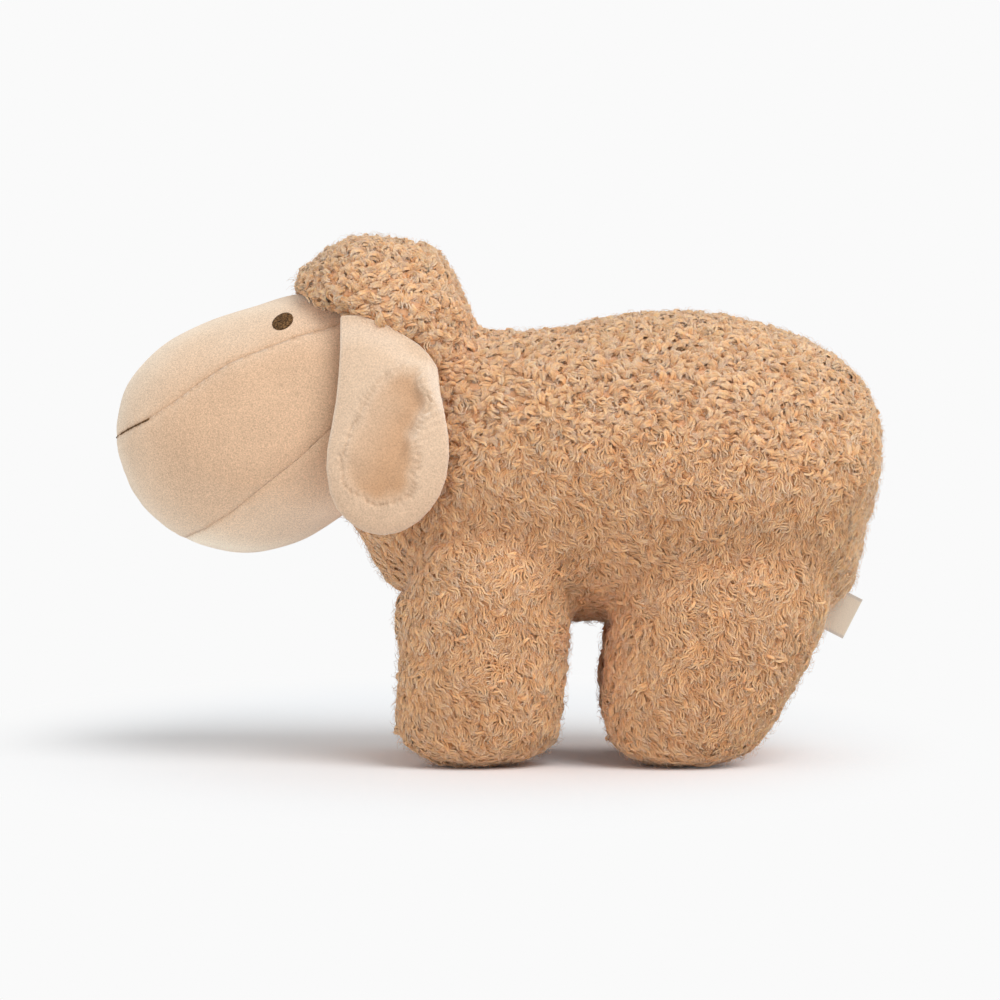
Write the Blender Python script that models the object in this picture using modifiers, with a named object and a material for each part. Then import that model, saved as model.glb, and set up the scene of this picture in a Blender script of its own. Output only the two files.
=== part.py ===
"""Standing plush sheep: fleece coat, velour face and lop ears, filled with fibre.

The sheep stands on the plane z = 0 with its nose towards -X and its left side towards -Y.
Every soft form is a coarse cage with a Subdivision Surface. A fabric shell is the outer form
less the same form set in by the fabric's thickness, and the filling is the form inside that.
"""
import math

import bmesh
import bpy
from mathutils import Matrix, Vector
from mathutils.bvhtree import BVHTree

MM = 0.001

# Fabrics and clearances
GAP = 0.3 * MM
FLEECE = 6.5 * MM
VELOUR = 1.6 * MM
EAR_CLOTH = 1.2 * MM
THREAD = 0.8 * MM
REACH = 400 * MM
SMOOTHING = 1

# Body
BODY_FRONT_X = -66 * MM
BODY_LENGTH = 220.9 * MM
BODY_BOTTOM_Z = 51 * MM
BODY_HEIGHT = 129.5 * MM
BODY_WIDTH = 134 * MM
BODY_SIDES = 12
# along the length, underside, top, width
BODY_SECTION_SHARES = (
    (0.000, 0.54, 0.54, 0.00),
    (0.035, 0.30, 0.78, 0.46),
    (0.115, 0.08, 0.90, 0.60),
    (0.290, 0.03, 0.945, 0.82),
    (0.460, 0.02, 0.985, 0.96),
    (0.640, 0.01, 1.00, 1.00),
    (0.810, 0.00, 0.96, 0.94),
    (0.930, 0.04, 0.85, 0.76),
    (0.985, 0.27, 0.72, 0.46),
    (1.000, 0.53, 0.53, 0.00),
)
BELLY_WIDTH = 44 * MM
BELLY_SEAM_Z = 68 * MM
BELLY_BACK_X = 116 * MM

# Legs
LEG_WIDTH = 57 * MM
LEG_SPREAD = 68 * MM
LEG_TOP_Z = 104 * MM
SOLE_CUT = 0.5 * MM
SOLE_ROUNDING = 1.1 * MM
LEG_SIDES = 8
FRONT_LEG_X = -6 * MM
FRONT_LEG_LENGTH = 74 * MM
HIND_LEG_X = 80 * MM
HIND_LEG_LENGTH = 100 * MM
# up the leg, front edge and back edge as shares of the length from its middle, width
FRONT_LEG_SECTION_SHARES = (
    (0.00, -0.03, -0.03, 0.00),
    (0.03, -0.39, 0.31, 0.74),
    (0.17, -0.49, 0.45, 0.98),
    (0.40, -0.49, 0.48, 1.00),
    (0.62, -0.45, 0.50, 1.02),
    (0.84, -0.35, 0.45, 0.80),
    (1.00, 0.05, 0.05, 0.00),
)
HIND_LEG_SECTION_SHARES = (
    (0.00, -0.07, -0.07, 0.00),
    (0.03, -0.34, 0.20, 0.74),
    (0.17, -0.43, 0.31, 0.98),
    (0.40, -0.42, 0.45, 1.00),
    (0.62, -0.37, 0.57, 1.02),
    (0.84, -0.26, 0.51, 0.80),
    (1.00, 0.12, 0.12, 0.00),
)

# Head
NOSE_X = -154.3 * MM
HEAD_LENGTH = 131 * MM
CHIN_Z = 80 * MM
HEAD_HEIGHT = 108 * MM
HEAD_WIDTH = 94 * MM
HEAD_SIDES = 10
# back from the nose, underside, top, width
HEAD_SECTION_SHARES = (
    (0.000, 0.47, 0.47, 0.00),
    (0.035, 0.29, 0.65, 0.42),
    (0.125, 0.13, 0.77, 0.68),
    (0.270, 0.03, 0.89, 0.89),
    (0.430, 0.00, 0.965, 1.00),
    (0.590, 0.06, 1.00, 1.00),
    (0.740, 0.18, 1.00, 0.90),
    (0.890, 0.33, 0.94, 0.70),
    (1.000, 0.64, 0.64, 0.00),
)
# a point of each face seam, back from the nose and up from the chin, and its rise over its run
UPPER_SEAM_POINT_SHARES = (0.009924, 0.449074)
UPPER_SEAM_SLOPE_SHARE = 0.700304
LOWER_SEAM_POINT_SHARES = (0.246565, 0.074074)
LOWER_SEAM_SLOPE_SHARE = 0.947670

# Hood
HOOD_FRONT_X = -87 * MM
HOOD_LENGTH = 79 * MM
HOOD_BOTTOM_Z = 138 * MM
HOOD_HEIGHT = 73 * MM
HOOD_WIDTH = 98 * MM
HOOD_SIDES = 10
# back from the forehead, underside, top, width
HOOD_SECTION_SHARES = (
    (0.00, 0.68, 0.68, 0.00),
    (0.10, 0.42, 0.87, 0.58),
    (0.32, 0.10, 0.99, 0.92),
    (0.58, 0.00, 1.00, 1.00),
    (0.82, 0.05, 0.86, 0.88),
    (0.94, 0.20, 0.66, 0.60),
    (1.00, 0.42, 0.42, 0.00),
)
HOOD_EDGE_X = -84 * MM
HOOD_EDGE_Z = 189 * MM
HOOD_EDGE_FALL = math.radians(25)
HOOD_NAPE_X = -50 * MM

# Eyes and mouth
# back from the nose and up from the chin
EYE_POINT_SHARES = (0.529008, 0.884259)
EYE_LENGTH = 8.6 * MM
EYE_HEIGHT = 6.6 * MM
EYE_RISE = 1.1 * MM
EYE_TILT = math.radians(24)
EYE_SEGMENTS = 16
MOUTH_CENTRE_SHARE = 0.338168
MOUTH_HALF_SPREAD = math.radians(37)
MOUTH_POINTS = 15
MOUTH_LIFT = 1.0 * MM

# Ears
EAR_TIP_Z = 92 * MM
EAR_HEIGHT = 100 * MM
EAR_MIDDLE_X = -43.5 * MM
EAR_WIDTH = 50 * MM
EAR_THICKNESS = 9.5 * MM
EAR_SIDES = 8
EAR_ROOT_Y = 45 * MM
EAR_LEAN = 11 * MM
EAR_ROOT_CLEARANCE = 0.5 * MM
EAR_HINGE_DEPTH_SHARE = 0.5
# up from the tip, front edge and back edge as shares of the width, thickness, lean
EAR_SECTION_SHARES = (
    (0.00, -0.05, -0.05, 0.00, 0.90),
    (0.07, -0.37, 0.31, 0.80, 0.96),
    (0.24, -0.49, 0.48, 1.00, 1.00),
    (0.44, -0.46, 0.51, 0.90, 0.84),
    (0.64, -0.41, 0.47, 0.72, 0.56),
    (0.83, -0.38, 0.40, 0.48, 0.16),
    (1.00, -0.10, -0.10, 0.00, 0.00),
)

# Label
LABEL_LENGTH = 17.5 * MM
LABEL_DEPTH = 11 * MM
LABEL_TAPE = 0.35 * MM
LABEL_FOLD_GAP = 0.5 * MM
LABEL_ROOT_X = 131.9 * MM
LABEL_ROOT_Z = 60.8 * MM
LABEL_PITCH = math.radians(27)
LABEL_SWING = math.radians(45)
LABEL_NOTCH_MARGIN = math.radians(12)
LABEL_NOTCH_DEPTH = 14 * MM
LABEL_CLEARANCE = 0.35 * MM
LABEL_START = -0.6 * MM

# Closing stitch under the belly
CLOSING_START_X = 28 * MM
CLOSING_LENGTH = 44 * MM
CLOSING_WIDTH = 4 * MM
CLOSING_STEPS = 10
CLOSING_LIFT = 1.3 * MM

SIDE_SIGNS = {"left": -1, "right": 1}


def linear_colour(red, green, blue):
    """Linear colour of an 8-bit display colour."""
    full = 255
    return tuple(((part / full + 0.055) / 1.055) ** 2.4 for part in (red, green, blue)) + (1,)


def make_material(name, colour, roughness):
    """Plain fabric material with one Principled BSDF."""
    material = bpy.data.materials.new(name)
    material.use_nodes = True
    shader = material.node_tree.nodes["Principled BSDF"]
    shader.inputs["Base Color"].default_value = linear_colour(*colour)
    shader.inputs["Roughness"].default_value = roughness
    shader.inputs["Metallic"].default_value = 0
    material.diffuse_color = linear_colour(*colour)
    return material


def clear_scene():
    """Remove every object that the new file starts with."""
    for thing in list(bpy.data.objects):
        bpy.data.objects.remove(thing, do_unlink=True)


def add_object(name, mesh, collection):
    """Link a mesh as a named object."""
    thing = bpy.data.objects.new(name, mesh)
    collection.objects.link(thing)
    return thing


def mark_cutter(thing):
    """Show a cutter as wire and keep it out of the model."""
    thing.hide_render = True
    thing.display_type = "WIRE"


def ring_cage(name, rings, sides):
    """Cage mesh: a sphere primitive whose rings are moved to (centre, across, up) places."""
    cage = bmesh.new()
    steps = len(rings) - 1
    bmesh.ops.create_uvsphere(cage, u_segments=sides, v_segments=steps, radius=1)
    swell = 4 / (3 + math.cos(2 * math.pi / sides))
    for corner in cage.verts:
        height = max(-1, min(1, corner.co.z))
        row = round(math.acos(height) / math.pi * steps)
        turn = math.atan2(corner.co.y, corner.co.x)
        centre, across, up = rings[row]
        corner.co = centre + swell * (math.cos(turn) * across + math.sin(turn) * up)
    cage.normal_update()
    bmesh.ops.recalc_face_normals(cage, faces=cage.faces)
    mesh = bpy.data.meshes.new(name)
    cage.to_mesh(mesh)
    cage.free()
    return mesh


def lengthwise_rings(front_x, length, bottom_z, height, width, section_shares):
    """Rings along X from rows of (along, underside, top, width) shares."""
    rings = []
    for along, under, top, wide in section_shares:
        centre = Vector((front_x + along * length, 0, bottom_z + (under + top) / 2 * height))
        across = Vector((0, wide * width / 2, 0))
        up = Vector((0, 0, (top - under) / 2 * height))
        rings.append((centre, across, up))
    return rings


def leg_rings(middle_x, length, side, section_shares):
    """Rings up a leg from rows of (up, front edge, back edge, width) shares."""
    rings = []
    for high, front, back, wide in section_shares:
        centre_x = middle_x + (front + back) / 2 * length
        centre_z = high * LEG_TOP_Z - (1 - high) * (SOLE_CUT + SOLE_ROUNDING)
        centre = Vector((centre_x, side * LEG_SPREAD / 2, centre_z))
        across = Vector(((back - front) / 2 * length, 0, 0))
        rings.append((centre, across, Vector((0, wide * LEG_WIDTH / 2, 0))))
    return rings


def ear_spine(side, high, lean):
    """Middle of an ear's thickness at a share of its height."""
    return side * (EAR_ROOT_Y + lean * EAR_LEAN), EAR_TIP_Z + high * EAR_HEIGHT


def ear_rings(side, depth):
    """Rings up an ear from its tip to its root, set in by a depth."""
    rings = []
    for high, front, back, thick, lean in EAR_SECTION_SHARES:
        middle_y, middle_z = ear_spine(side, high, lean)
        if thick == 0:
            middle_z += depth if high == 0 else -depth
        centre = Vector((EAR_MIDDLE_X + (front + back) / 2 * EAR_WIDTH, middle_y, middle_z))
        half_width = max(0, (back - front) / 2 * EAR_WIDTH - depth)
        half_thickness = max(0, thick * EAR_THICKNESS / 2 - depth)
        rings.append((centre, Vector((half_width, 0, 0)), Vector((0, half_thickness, 0))))
    return rings


def smooth(thing, levels=SMOOTHING):
    """Round a cage with the same subdivision in the view and in a render."""
    modifier = thing.modifiers.new("rounding", "SUBSURF")
    modifier.levels = levels
    modifier.render_levels = levels


def set_in(thing, depth):
    """Move a form's surface inwards by a depth, or outwards where it is negative."""
    modifier = thing.modifiers.new("set in", "DISPLACE")
    modifier.strength = -depth
    modifier.mid_level = 0


def cut(thing, cutter, operation="DIFFERENCE"):
    """Cut a piece with another solid."""
    modifier = thing.modifiers.new("cut by " + cutter.name, "BOOLEAN")
    modifier.operation = operation
    modifier.solver = "EXACT"
    modifier.object = cutter


def evaluated_copy(thing):
    """Mesh of an object as its modifiers leave it."""
    bpy.context.view_layer.update()
    graph = bpy.context.evaluated_depsgraph_get()
    return bpy.data.meshes.new_from_object(thing.evaluated_get(graph))


def surface_tree(form):
    """Search tree over a form's rounded surface. The form itself is removed."""
    mesh = evaluated_copy(form)
    corners = [form.matrix_world @ corner.co for corner in mesh.vertices]
    faces = [tuple(face.vertices) for face in mesh.polygons]
    bpy.data.meshes.remove(mesh)
    bpy.data.objects.remove(form, do_unlink=True)
    return BVHTree.FromPolygons(corners, faces)


class Workshop:
    """The collections, materials, soft forms and cutters that the pieces share."""

    def __init__(self):
        scene = bpy.context.scene
        self.parts = bpy.data.collections.new("plush_sheep")
        self.cutters = bpy.data.collections.new("cutters")
        scene.collection.children.link(self.parts)
        scene.collection.children.link(self.cutters)
        self.fleece = make_material("curly_fleece", (203, 158, 122), 0.95)
        self.velour = make_material("face_velour", (222, 191, 163), 0.85)
        self.ear_velour = make_material("ear_velour", (232, 205, 179), 0.85)
        self.filling = make_material("fibre_filling", (236, 234, 228), 0.95)
        self.thread = make_material("brown_thread", (92, 66, 44), 0.7)
        self.sewing = make_material("sewing_thread", (196, 158, 122), 0.7)
        self.tape = make_material("woven_tape", (206, 190, 164), 0.8)

    def cutter_form(self, name, rings, sides, depth=0):
        """Soft form that cuts others, set in by a depth."""
        form = add_object(name, ring_cage(name, rings, sides), self.cutters)
        smooth(form)
        if depth:
            set_in(form, depth)
        mark_cutter(form)
        return form

    def block(self, name, low, high):
        """Box cutter between two corners."""
        box = bmesh.new()
        bmesh.ops.create_cube(box, size=1)
        size = Vector(high) - Vector(low)
        middle = (Vector(high) + Vector(low)) / 2
        for corner in box.verts:
            corner.co = middle + Vector(a * b for a, b in zip(corner.co, size))
        mesh = bpy.data.meshes.new(name)
        box.to_mesh(mesh)
        box.free()
        thing = add_object(name, mesh, self.cutters)
        mark_cutter(thing)
        return thing

    def half_space(self, name, point, normal, clearance=0):
        """Large block on the far side of a plane, in the direction of its normal."""
        thing = self.block(name, (-REACH, -REACH, 0), (REACH, REACH, REACH))
        direction = Vector(normal).normalized()
        turn = direction.to_track_quat("Z", "Y").to_matrix().to_4x4()
        thing.matrix_world = Matrix.Translation(Vector(point) + clearance * direction) @ turn
        return thing

    def prism(self, name, outline, low, high, collection=None):
        """Solid with an outline of (x, z) points, running along Y from low to high."""
        solid = bmesh.new()
        corners = [solid.verts.new((x, low, z)) for x, z in outline]
        face = solid.faces.new(corners)
        swept = bmesh.ops.extrude_face_region(solid, geom=[face])
        moved = [item for item in swept["geom"] if isinstance(item, bmesh.types.BMVert)]
        bmesh.ops.translate(solid, vec=(0, high - low, 0), verts=moved)
        solid.normal_update()
        bmesh.ops.recalc_face_normals(solid, faces=solid.faces)
        mesh = bpy.data.meshes.new(name)
        solid.to_mesh(mesh)
        solid.free()
        thing = add_object(name, mesh, collection or self.cutters)
        if collection is None:
            mark_cutter(thing)
        return thing

    def soft_piece(self, name, rings, sides, material, depth=0):
        """Piece that starts as a whole soft form, set in by a depth."""
        piece = add_object(name, ring_cage(name, rings, sides), self.parts)
        smooth(piece)
        if depth:
            set_in(piece, depth)
        self.finish(piece, material)
        return piece

    def finish(self, piece, material):
        """Give a piece its material and smooth shading."""
        piece.data.materials.append(material)
        piece.data.shade_smooth()

    def thread_tube(self, name, points, material):
        """Thread along points, as a tube with closed ends."""
        line = bpy.data.curves.new(name, "CURVE")
        line.dimensions = "3D"
        line.bevel_depth = THREAD / 2
        line.bevel_resolution = 1
        line.use_fill_caps = True
        spline = line.splines.new("POLY")
        spline.points.add(len(points) - 1)
        for spot, place in zip(spline.points, points):
            spot.co = (*place, 1)
        tube = bpy.data.objects.new(name, line)
        self.parts.objects.link(tube)
        line.materials.append(material)
        return tube


def move_origin(piece, point):
    """Put a piece's origin on its joint and leave its shape where it is."""
    piece.data.transform(Matrix.Translation(-Vector(point)))
    piece.location = point


def head_point(shares):
    """Place on the middle plane at shares of the head's length and height."""
    back, high = shares
    return Vector((NOSE_X + back * HEAD_LENGTH, 0, CHIN_Z + high * HEAD_HEIGHT))


def seam_rise(slope_share):
    """Angle of a face seam that keeps to the head's proportions."""
    return math.atan(slope_share * HEAD_HEIGHT / HEAD_LENGTH)


def seam_normal(rise):
    """Upward normal of a seam plane that climbs towards the back."""
    return Vector((-math.sin(rise), 0, math.cos(rise)))


def hood_edge_z(x):
    """Height of the hood's lower edge above a place along the head."""
    return HOOD_EDGE_Z - (x - HOOD_EDGE_X) * math.tan(HOOD_EDGE_FALL)


def hood_edge_outline(back_x, clearance):
    """Region under the hood's edge and in front of a place, as (x, z) points."""
    front_x = HOOD_EDGE_X - REACH
    nape_x = back_x - clearance
    drop = clearance / math.cos(HOOD_EDGE_FALL)
    return (
        (front_x, hood_edge_z(front_x) - drop),
        (nape_x, hood_edge_z(nape_x) - drop),
        (nape_x, -REACH),
        (front_x, -REACH),
    )


def build_body(shop, rings, halves):
    """Side panels, belly panels and stuffing of the body."""
    inner = shop.cutter_form("body_inner", rings, BODY_SIDES, FLEECE)
    belly_low = (-REACH, -BELLY_WIDTH / 2, 0)
    belly_high = (BELLY_BACK_X, BELLY_WIDTH / 2, BELLY_SEAM_Z)
    belly = shop.block("belly_region", belly_low, belly_high)
    wide_low = (-REACH, -BELLY_WIDTH / 2 - GAP, 0)
    wide_high = (BELLY_BACK_X + GAP, BELLY_WIDTH / 2 + GAP, BELLY_SEAM_Z + GAP)
    belly_room = shop.block("belly_room", wide_low, wide_high)
    notch = label_notch(shop)
    for side in SIDE_SIGNS:
        panel = shop.soft_piece("body_panel_" + side, rings, BODY_SIDES, shop.fleece)
        cut(panel, halves[side], "INTERSECT")
        cut(panel, inner)
        cut(panel, belly_room)
        cut(panel, notch)
        gusset = shop.soft_piece("belly_panel_" + side, rings, BODY_SIDES, shop.fleece)
        cut(gusset, halves[side], "INTERSECT")
        cut(gusset, belly, "INTERSECT")
        cut(gusset, inner)
    shop.soft_piece("body_stuffing", rings, BODY_SIDES, shop.filling, FLEECE + GAP)


def build_legs(shop, body_room):
    """Four fleece legs with their stuffing, cut by the body and flat at the sole."""
    ground = shop.half_space("ground", (0, 0, 0), (0, 0, -1))
    pairs = (
        ("front", FRONT_LEG_X, FRONT_LEG_LENGTH, FRONT_LEG_SECTION_SHARES),
        ("hind", HIND_LEG_X, HIND_LEG_LENGTH, HIND_LEG_SECTION_SHARES),
    )
    for end, middle_x, length, section_shares in pairs:
        for side, sign in SIDE_SIGNS.items():
            name = end + "_" + side + "_leg"
            rings = leg_rings(middle_x, length, sign, section_shares)
            inner = shop.cutter_form(name + "_inner", rings, LEG_SIDES, FLEECE)
            fleece = shop.soft_piece(name + "_fleece", rings, LEG_SIDES, shop.fleece)
            cut(fleece, inner)
            cut(fleece, body_room)
            cut(fleece, ground)
            stuffing = shop.soft_piece(name + "_stuffing", rings, LEG_SIDES, shop.filling,
                                       FLEECE + GAP)
            cut(stuffing, body_room)


def build_face(shop, rings, halves, head_inner, body_room):
    """Four velour panels between the face seams, and the head's stuffing."""
    upper_point = head_point(UPPER_SEAM_POINT_SHARES)
    lower_point = head_point(LOWER_SEAM_POINT_SHARES)
    upper_normal = seam_normal(seam_rise(UPPER_SEAM_SLOPE_SHARE))
    lower_normal = seam_normal(seam_rise(LOWER_SEAM_SLOPE_SHARE))
    above_upper = shop.half_space("above_upper_seam", upper_point, upper_normal, GAP / 2)
    below_upper = shop.half_space("below_upper_seam", upper_point, -upper_normal, GAP / 2)
    above_lower = shop.half_space("above_lower_seam", lower_point, lower_normal, GAP / 2)
    below_lower = shop.half_space("below_lower_seam", lower_point, -lower_normal, GAP / 2)
    face_region = shop.prism("face_region", hood_edge_outline(HOOD_NAPE_X, GAP), -REACH, REACH)

    def panel(name, *regions):
        piece = shop.soft_piece(name, rings, HEAD_SIDES, shop.velour)
        for region in regions:
            cut(piece, region, "INTERSECT")
        cut(piece, face_region, "INTERSECT")
        cut(piece, head_inner)
        cut(piece, body_room)

    panel("brow_panel", above_upper)
    panel("chin_panel", below_lower)
    for side in SIDE_SIGNS:
        panel("cheek_panel_" + side, halves[side], below_upper, above_lower)
    stuffing = shop.soft_piece("head_stuffing", rings, HEAD_SIDES, shop.filling, VELOUR + GAP)
    cut(stuffing, body_room)


def build_hood(shop, head_inner, body_room):
    """Fleece cap over the crown, hollowed by the head and cut along its lower edge."""
    rings = lengthwise_rings(HOOD_FRONT_X, HOOD_LENGTH, HOOD_BOTTOM_Z, HOOD_HEIGHT,
                             HOOD_WIDTH, HOOD_SECTION_SHARES)
    hood = shop.soft_piece("hood_fleece", rings, HOOD_SIDES, shop.fleece)
    face_side = shop.prism("hood_edge", hood_edge_outline(HOOD_NAPE_X, 0), -REACH, REACH)
    cut(hood, face_side)
    ear_back_x = EAR_MIDDLE_X + EAR_WIDTH
    beside_ear = EAR_ROOT_Y - EAR_THICKNESS / 2
    for side, sign in SIDE_SIGNS.items():
        low, high = sorted((sign * beside_ear, sign * REACH))
        cut(hood, shop.prism(side + "_ear_room", hood_edge_outline(ear_back_x, 0), low, high))
    cut(hood, head_inner)
    cut(hood, body_room)


def ear_split_outline(sign, clearance):
    """Outline of the region outside an ear's middle surface, as (y, z) points."""
    spine = [ear_spine(sign, row[0], row[-1]) for row in EAR_SECTION_SHARES]
    line = [(y + sign * clearance, z) for y, z in spine]
    line = [(line[0][0], -REACH)] + line + [(line[-1][0], REACH)]
    return line + [(sign * REACH, REACH), (sign * REACH, -REACH)]


def build_ear(shop, side, sign, root):
    """One lop ear: two velour faces round a thin pad, hung from its sewn root."""
    rings = ear_rings(sign, 0)
    name = side + "_ear"
    inner = shop.cutter_form(name + "_inner", ear_rings(sign, EAR_CLOTH), EAR_SIDES)
    pieces = []
    faces = (("front", "INTERSECT", GAP / 2), ("back", "DIFFERENCE", -GAP / 2))
    for face, operation, clearance in faces:
        cover = shop.soft_piece(name + "_" + face, rings, EAR_SIDES, shop.ear_velour)
        outline = ear_split_outline(sign, clearance)
        outside = shop.prism(name + "_outside_" + face, outline, -REACH, REACH)
        outside.data.transform(Matrix.Rotation(math.radians(90), 4, "Z"))
        cut(cover, outside, operation)
        cut(cover, inner)
        cut(cover, root)
        pieces.append(cover)
    pad_rings = ear_rings(sign, EAR_CLOTH + GAP)
    wadding = shop.soft_piece(name + "_wadding", pad_rings, EAR_SIDES, shop.filling)
    cut(wadding, root)
    pieces.append(wadding)
    for piece in pieces:
        move_origin(piece, ear_hinge_point(sign))


def ear_hinge_point(sign):
    """Middle of the line about which an ear flaps: the outer edge of its sewn root."""
    hinge_z = hood_edge_z(EAR_MIDDLE_X) - EAR_ROOT_CLEARANCE / math.cos(HOOD_EDGE_FALL)
    hinge_y = EAR_ROOT_Y + EAR_HINGE_DEPTH_SHARE * EAR_THICKNESS / 2
    return Vector((EAR_MIDDLE_X, sign * hinge_y, hinge_z))


def build_eyes(shop, tree, head_room):
    """Embroidered ovals that stand just proud of the brow."""
    for side, sign in SIDE_SIGNS.items():
        start = head_point(EYE_POINT_SHARES) + Vector((0, sign * REACH, 0))
        place, normal, _, _ = tree.ray_cast(start, Vector((0, -sign, 0)))
        long_way = Vector((math.cos(EYE_TILT), 0, math.sin(EYE_TILT)))
        long_way = (long_way - long_way.dot(normal) * normal).normalized()
        short_way = normal.cross(long_way)
        frame = Matrix((long_way, short_way, normal)).transposed().to_4x4()
        oval = bmesh.new()
        bmesh.ops.create_uvsphere(oval, u_segments=EYE_SEGMENTS,
                                  v_segments=EYE_SEGMENTS // 2, radius=1)
        size = Vector((EYE_LENGTH / 2, EYE_HEIGHT / 2, EYE_RISE + GAP))
        bmesh.ops.scale(oval, vec=size, verts=oval.verts)
        mesh = bpy.data.meshes.new(side + "_eye")
        oval.to_mesh(mesh)
        oval.free()
        eye = add_object(side + "_eye", mesh, shop.parts)
        eye.matrix_world = Matrix.Translation(place) @ frame
        shop.finish(eye, shop.thread)
        cut(eye, head_room)


def build_mouth(shop, tree):
    """Thread line that lies in the upper seam round the front of the muzzle."""
    rise = seam_rise(UPPER_SEAM_SLOPE_SHARE)
    forward = Vector((-math.cos(rise), 0, -math.sin(rise)))
    seam_point = head_point(UPPER_SEAM_POINT_SHARES)
    back = NOSE_X + MOUTH_CENTRE_SHARE * HEAD_LENGTH - seam_point.x
    centre = seam_point - back / math.cos(rise) * forward
    points = []
    for step in range(MOUTH_POINTS):
        angle = MOUTH_HALF_SPREAD * (2 * step / (MOUTH_POINTS - 1) - 1)
        heading = math.cos(angle) * forward + math.sin(angle) * Vector((0, 1, 0))
        place, normal, _, _ = tree.ray_cast(centre, heading)
        points.append(place + MOUTH_LIFT * normal)
    shop.thread_tube("mouth_stitch", points, shop.thread)


def label_frame():
    """Place of the label's seam: local X runs out of the body, local Z along the seam."""
    turn = Matrix.Rotation(LABEL_PITCH, 4, "Y")
    return Matrix.Translation((LABEL_ROOT_X, 0, LABEL_ROOT_Z)) @ turn


def label_notch(shop):
    """Wedge in the pile at the rump seam, wide enough for the label's swing."""
    half_angle = LABEL_SWING + LABEL_NOTCH_MARGIN
    back = LABEL_CLEARANCE + LABEL_TAPE + LABEL_FOLD_GAP / 2
    reach = LABEL_NOTCH_DEPTH
    spread = back + reach * math.tan(half_angle)
    outline = ((-back, -back), (-back, back), (reach, spread), (reach, -spread))
    high = LABEL_LENGTH / 2 + LABEL_CLEARANCE
    notch = shop.prism("label_notch", outline, -high, high)
    upright = Matrix.Rotation(math.radians(90), 4, "X")
    notch.data.transform(label_frame() @ upright)
    return notch


def build_label(shop):
    """Folded tape: two leaves that meet at the outer fold, open at the seam."""
    half = LABEL_FOLD_GAP / 2
    outer = half + LABEL_TAPE
    start = LABEL_START
    outline = (
        (start, outer),
        (LABEL_DEPTH, outer),
        (LABEL_DEPTH, -outer),
        (start, -outer),
        (start, -half),
        (LABEL_DEPTH - LABEL_TAPE, -half),
        (LABEL_DEPTH - LABEL_TAPE, half),
        (start, half),
    )
    tape = shop.prism("woven_label", outline, -LABEL_LENGTH / 2, LABEL_LENGTH / 2, shop.parts)
    upright = Matrix.Rotation(math.radians(90), 4, "X")
    tape.data.transform(upright)
    tape.matrix_world = label_frame()
    tape.data.materials.append(shop.tape)


def build_closing_stitch(shop, tree):
    """Zigzag of thread across the belly's middle seam, lying on the fleece."""
    points = []
    for step in range(CLOSING_STEPS + 1):
        along = CLOSING_START_X + CLOSING_LENGTH * step / CLOSING_STEPS
        swing = CLOSING_WIDTH / 2 * (1 if step % 2 else -1)
        start = Vector((along, swing, -REACH))
        place, normal, _, _ = tree.ray_cast(start, Vector((0, 0, 1)))
        points.append(place + CLOSING_LIFT * normal)
    shop.thread_tube("closing_stitch", points, shop.sewing)


def main():
    """Build the whole sheep."""
    clear_scene()
    shop = Workshop()
    body_rings = lengthwise_rings(BODY_FRONT_X, BODY_LENGTH, BODY_BOTTOM_Z, BODY_HEIGHT,
                                  BODY_WIDTH, BODY_SECTION_SHARES)
    head_rings = lengthwise_rings(NOSE_X, HEAD_LENGTH, CHIN_Z, HEAD_HEIGHT,
                                  HEAD_WIDTH, HEAD_SECTION_SHARES)
    body_room = shop.cutter_form("body_room", body_rings, BODY_SIDES, -GAP)
    head_inner = shop.cutter_form("head_inner", head_rings, HEAD_SIDES, VELOUR)
    head_room = shop.cutter_form("head_room", head_rings, HEAD_SIDES, -GAP)
    body_form = shop.cutter_form("body_form", body_rings, BODY_SIDES)
    head_form = shop.cutter_form("head_form", head_rings, HEAD_SIDES)
    halves = {
        side: shop.half_space(side + "_half", (0, 0, 0), (0, sign, 0), GAP / 2)
        for side, sign in SIDE_SIGNS.items()
    }
    build_body(shop, body_rings, halves)
    build_legs(shop, body_room)
    build_face(shop, head_rings, halves, head_inner, body_room)
    build_hood(shop, head_inner, body_room)
    ear_root = shop.half_space("ear_root", (HOOD_EDGE_X, 0, HOOD_EDGE_Z),
                               seam_normal(-HOOD_EDGE_FALL), -EAR_ROOT_CLEARANCE)
    for side, sign in SIDE_SIGNS.items():
        build_ear(shop, side, sign, ear_root)
    head_tree = surface_tree(head_form)
    build_eyes(shop, head_tree, head_room)
    build_mouth(shop, head_tree)
    build_label(shop)
    build_closing_stitch(shop, surface_tree(body_form))


main()
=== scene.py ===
"""Looks of the standing plush sheep.

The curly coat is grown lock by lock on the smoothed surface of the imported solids. The face, the
ears and the stitched details are built again at full detail in the places of their solids.
Lengths are in metres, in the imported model's frame: nose towards -X, left side towards -Y.
"""
import logging
import math
from dataclasses import dataclass
from enum import Enum
from typing import Callable, Iterable, Sequence

import bmesh
import bpy
import numpy as np
from mathutils import Matrix, Vector
from mathutils.bvhtree import BVHTree
from mathutils.kdtree import KDTree


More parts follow.
